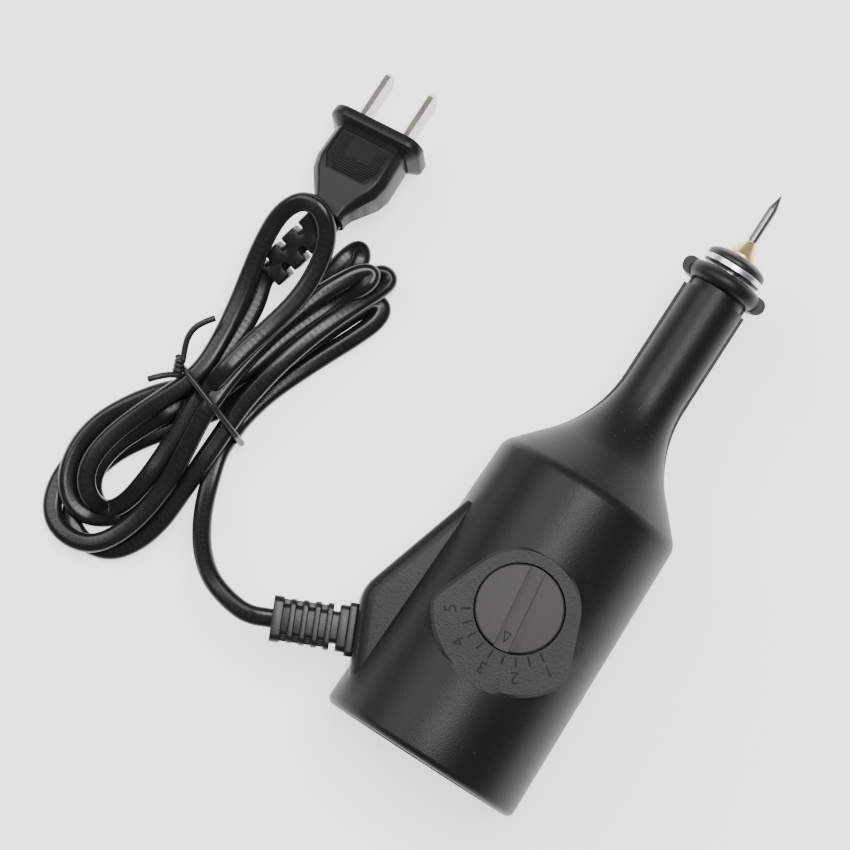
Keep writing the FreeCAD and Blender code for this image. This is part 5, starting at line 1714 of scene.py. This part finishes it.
@dataclass
class Plug:
    """Moulded plug with two flat blades, a ridged panel and a notched sleeve."""

    front: Point = (0.0434, 0.0893, 0.00998)
    pitch: float = math.radians(16.0)
    roll: float = math.radians(-17.0)
    neck: float = -0.027
    stations: tuple[Station, ...] = (
        Station(-0.0036, 0.0098, 0.0064, 0.0018), Station(-0.0060, 0.0100, 0.0066, 0.0018),
        Station(-0.0140, 0.0102, 0.0066, 0.0018), Station(-0.0172, 0.0094, 0.0061, 0.0018),
        Station(-0.0203, 0.0074, 0.0053, 0.0016), Station(-0.0232, 0.0055, 0.0045, 0.0013),
        Station(-0.0252, 0.0047, 0.0041, 0.0011), Station(-0.0270, 0.0046, 0.0040, 0.0010),
    )

    def place(self) -> Matrix:
        """The plug's frame: X out of its front face.

        Returns:
            The placement.
        """
        return (
            Matrix.Translation(self.front) @ Matrix.Rotation(self.pitch, 4, "Y")
            @ Matrix.Rotation(self.roll, 4, "X")
        )

    def _loft(self, name: str, rings: Sequence[Sequence[Point]]) -> bpy.types.Object:
        """Join rings of equal count into a closed solid.

        Args:
            name: The object's name.
            rings: The rings, front to rear.

        Returns:
            The solid.
        """
        count = len(rings[0])
        points = [point for ring in rings for point in ring]
        faces = [
            (r * count + c, r * count + (c + 1) % count,
             (r + 1) * count + (c + 1) % count, (r + 1) * count + c)
            for r in range(len(rings) - 1) for c in range(count)
        ]
        last = (len(rings) - 1) * count
        faces.append(tuple(reversed(range(count))))
        faces.append(tuple(last + c for c in range(count)))
        mesh = bpy.data.meshes.new(name)
        mesh.from_pydata(points, [], faces)
        piece = bpy.data.objects.new(name, mesh)
        bpy.context.collection.objects.link(piece)
        Bench.outward(piece)
        return piece

    def _grip(self) -> bpy.types.Object:
        """The tapering grip with cut corners and a sunk panel.

        Returns:
            The grip.
        """
        rings = []
        for s in self.stations:
            side = s.cut
            rings.append([
                (s.x, s.wide, s.high - side * 1.4), (s.x, s.wide - side, s.high),
                (s.x, -s.wide + side, s.high), (s.x, -s.wide, s.high - side * 1.4),
                (s.x, -s.wide, -s.high + side * 1.4), (s.x, -s.wide + side, -s.high),
                (s.x, s.wide - side, -s.high), (s.x, s.wide, -s.high + side * 1.4),
            ])
        grip = self._loft("plug_grip", rings)
        Bench.soften(grip, 0.0006, 4)
        outline = (
            (-0.0054, 0.0076), (-0.0132, 0.0076), (-0.0168, 0.0056), (-0.0168, -0.0056),
            (-0.0132, -0.0076), (-0.0054, -0.0076),
        )
        cutter = self._loft("panel_cut", [
            [(x, y, 0.0061 + lean * (x + 0.0132) * 0.12 * (x < -0.014)) for x, y in outline]
            if lean else [(x, y, 0.0080) for x, y in outline] for lean in (1, 0)
        ])
        self._cut(grip, cutter)
        return grip

    @staticmethod
    def _cut(piece: bpy.types.Object, cutter: bpy.types.Object) -> None:
        """Cut one solid out of another.

        Args:
            piece: What is cut.
            cutter: What is taken away; it is removed afterwards.
        """
        Bench.modify(piece, "BOOLEAN", operation="DIFFERENCE", solver="EXACT", object=cutter)
        bpy.data.objects.remove(cutter)

    def _ridges(self) -> list[bpy.types.Object]:
        """Fine ridges across the panel, with a blank field in the middle.

        Returns:
            The ridges.
        """
        pieces = []
        for step in range(15):
            x = -0.0064 - step * 0.00068
            wide = 0.0066 - max(0.0, -x - 0.0125) * 0.62
            spans = [(-wide, -0.0036), (0.0036, wide)] if step < 8 else [(-wide, wide)]
            for low, high in spans:
                pieces.append(Bench.block(
                    f"ridge_{step}", (x - 0.00014, low, 0.0058), (x + 0.00014, high, 0.00632)
                ))
        return pieces

    def _flange(self) -> bpy.types.Object:
        """The flange: a flat front and a sloping back.

        Returns:
            The flange.
        """
        rings = []
        for x, less in (
            (0.0, 0.0005), (-0.00018, 0.00018), (-0.0006, 0.0), (-0.0024, 0.0),
            (-0.0027, 0.00012), (-0.0029, 0.0004), (-0.0046, 0.0026),
        ):
            ring = []
            wide, high, corner = 0.0130 - less, 0.0080 - less, 0.0045 - less * 0.6
            for quarter in range(4):
                for k in range(9):
                    angle = math.radians(quarter * 90 + k * 11.25)
                    sy = 1 if quarter in (0, 3) else -1
                    sz = 1 if quarter in (0, 1) else -1
                    ring.append((
                        x, sy * (wide - corner) + corner * math.cos(angle),
                        sz * (high - corner) + corner * math.sin(angle),
                    ))
            rings.append(ring)
        return self._loft("plug_flange", rings)

    def _sleeve(self) -> bpy.types.Object:
        """The flexible sleeve, slotted from alternate sides.

        Returns:
            The sleeve, X away from the plug.
        """
        mm = MM
        sleeve = Bench.block(
            "plug_sleeve", (-1.5 * mm, -4.2 * mm, -3.6 * mm), (20.0 * mm, 4.2 * mm, 3.6 * mm)
        )
        Bench.round_edges(sleeve, 0.9 * mm, lengthwise, 4)
        for step in range(3):
            for side, shift in ((1, 0.0), (-1, 0.5)):
                start = 2.2 + 6.0 * (step + shift)
                wide = 2.0
                slot = Bench.block(
                    "slot_cut", (start * mm, 0.9 * mm, -5 * mm),
                    ((start + wide) * mm, 6 * mm, 5 * mm),
                )
                Bench.round_edges(
                    slot, wide * 0.45 * mm, lambda m, d: abs(d.z) > 0.9 and m.y < 0.002, 6
                )
                Bench.put(slot, Matrix.Diagonal((1, side, 1, 1)))
                Bench.outward(slot)
                self._cut(sleeve, slot)
        Bench.soften(sleeve, 0.00022, 2)
        core = Bench.block(
            "sleeve_core", (-1.5 * mm, -2.5 * mm, -1.8 * mm), (19.5 * mm, 2.5 * mm, 1.8 * mm)
        )
        Bench.round_edges(core, 1.2 * mm, lengthwise, 4)
        return Bench.join("plug_sleeve", [sleeve, core])

    def build(
        self, report: Report, nodes: dict[str, bpy.types.Object]
    ) -> list[bpy.types.Object]:
        """Make the plug.

        Args:
            report: Where pieces are registered.
            nodes: The CAD nodes.

        Returns:
            The pieces on the flex's end.
        """
        place = self.place()
        body = Bench.join("plug", [self._flange(), self._grip(), *self._ridges()])
        Bench.put(body, place)
        neck = place @ Vector((self.neck, 0.0, 0.0))
        sleeve = self._sleeve()
        Bench.put(
            sleeve, Matrix.Translation(neck) @ Matrix.Rotation(math.radians(166.0), 4, "Z")
            @ Matrix.Rotation(math.radians(16.0), 4, "Y"),
        )
        Bench.smooth(sleeve, 35.0)
        Bench.smooth(body, 28.0)
        whole = Bench.join("plug", [body, sleeve])
        report.piece(whole, "housing", "relief_black", Finish.PLUG, "plug_body")
        blades = Bench.merged_copy(nodes["plug_blades"], "blades")
        Bench.soften(blades, 0.00012, 2)
        Bench.smooth(blades, 30.0)
        report.piece(blades, "housing", "blade_metal", Finish.BLADE, "plug_blades")
        return [whole, blades, nodes["plug_insert"]]


# ---------------------------------------------------------------------------------------------
# The whole tool
# ---------------------------------------------------------------------------------------------

NODE_FINISH = {
    "upper_shell": Finish.SHELL,
    "lower_shell": Finish.SHELL,
    "rear_plate": Finish.REAR,
    "housing_screws": Finish.SCREW,
    "stator_core": Finish.IRON,
    "core_screws": Finish.SCREW,
    "coil_bobbin": Finish.NYLON,
    "coil_winding": Finish.COPPER,
    "coil_terminals": Finish.SCREW,
    "armature": Finish.IRON,
    "drive_rod": Finish.STEEL,
    "stop_collar": Finish.STEEL,
    "spring_seat": Finish.STEEL,
    "nose_washer": Finish.STEEL,
    "nose_boot": Finish.BOOT,
    "collet": Finish.SCREW,
    "chuck_nut": Finish.BRASS,
    "engraving_tip": Finish.TIP,
    "rear_guide": Finish.ACETAL,
    "rubber_buffer": Finish.BOOT,
    "front_bush": Finish.BOOT,
    "return_spring": Finish.STEEL,
    "dial_knob": Finish.KNOB,
    "dial_spindle": Finish.ACETAL,
    "dial_washer": Finish.BOOT,
    "dial_clip": Finish.SCREW,
    "strain_relief": Finish.RELIEF,
    "lead_wires": Finish.FLEX,
    "wire_joints": Finish.SLEEVING,
    "plug_body": Finish.PLUG,
    "plug_insert": Finish.NYLON,
    "plug_blades": Finish.BLADE,
    "cord_lead": Finish.FLEX,
    "cord_tie": Finish.TIE,
    "cord_hank": Finish.FLEX,
}


def dress_nodes(nodes: dict[str, bpy.types.Object], wardrobe: Wardrobe) -> None:
    """Give every CAD node its finish.

    Args:
        nodes: The CAD nodes.
        wardrobe: The finishes.
    """
    for name, node in nodes.items():
        wardrobe.dress(node, NODE_FINISH[name])


def main() -> None:
    """Build the visual model of the engraver."""
    logging.basicConfig(level=logging.INFO, format="%(message)s")
    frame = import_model()
    report = Report()
    nodes = frame["nodes"]
    dress_nodes(nodes, report.wardrobe)
    Housing().build(report, nodes)
    Dial().build(report, nodes)
    Nose().build(report)
    Relief().build(report)
    plug = Plug().build(report, nodes)
    flex = Flex()
    tie = Tie().build(report, flex.line())
    flex.build(report, [tie, *plug])
    Studio().build()


if __name__ == "__main__":
    main()
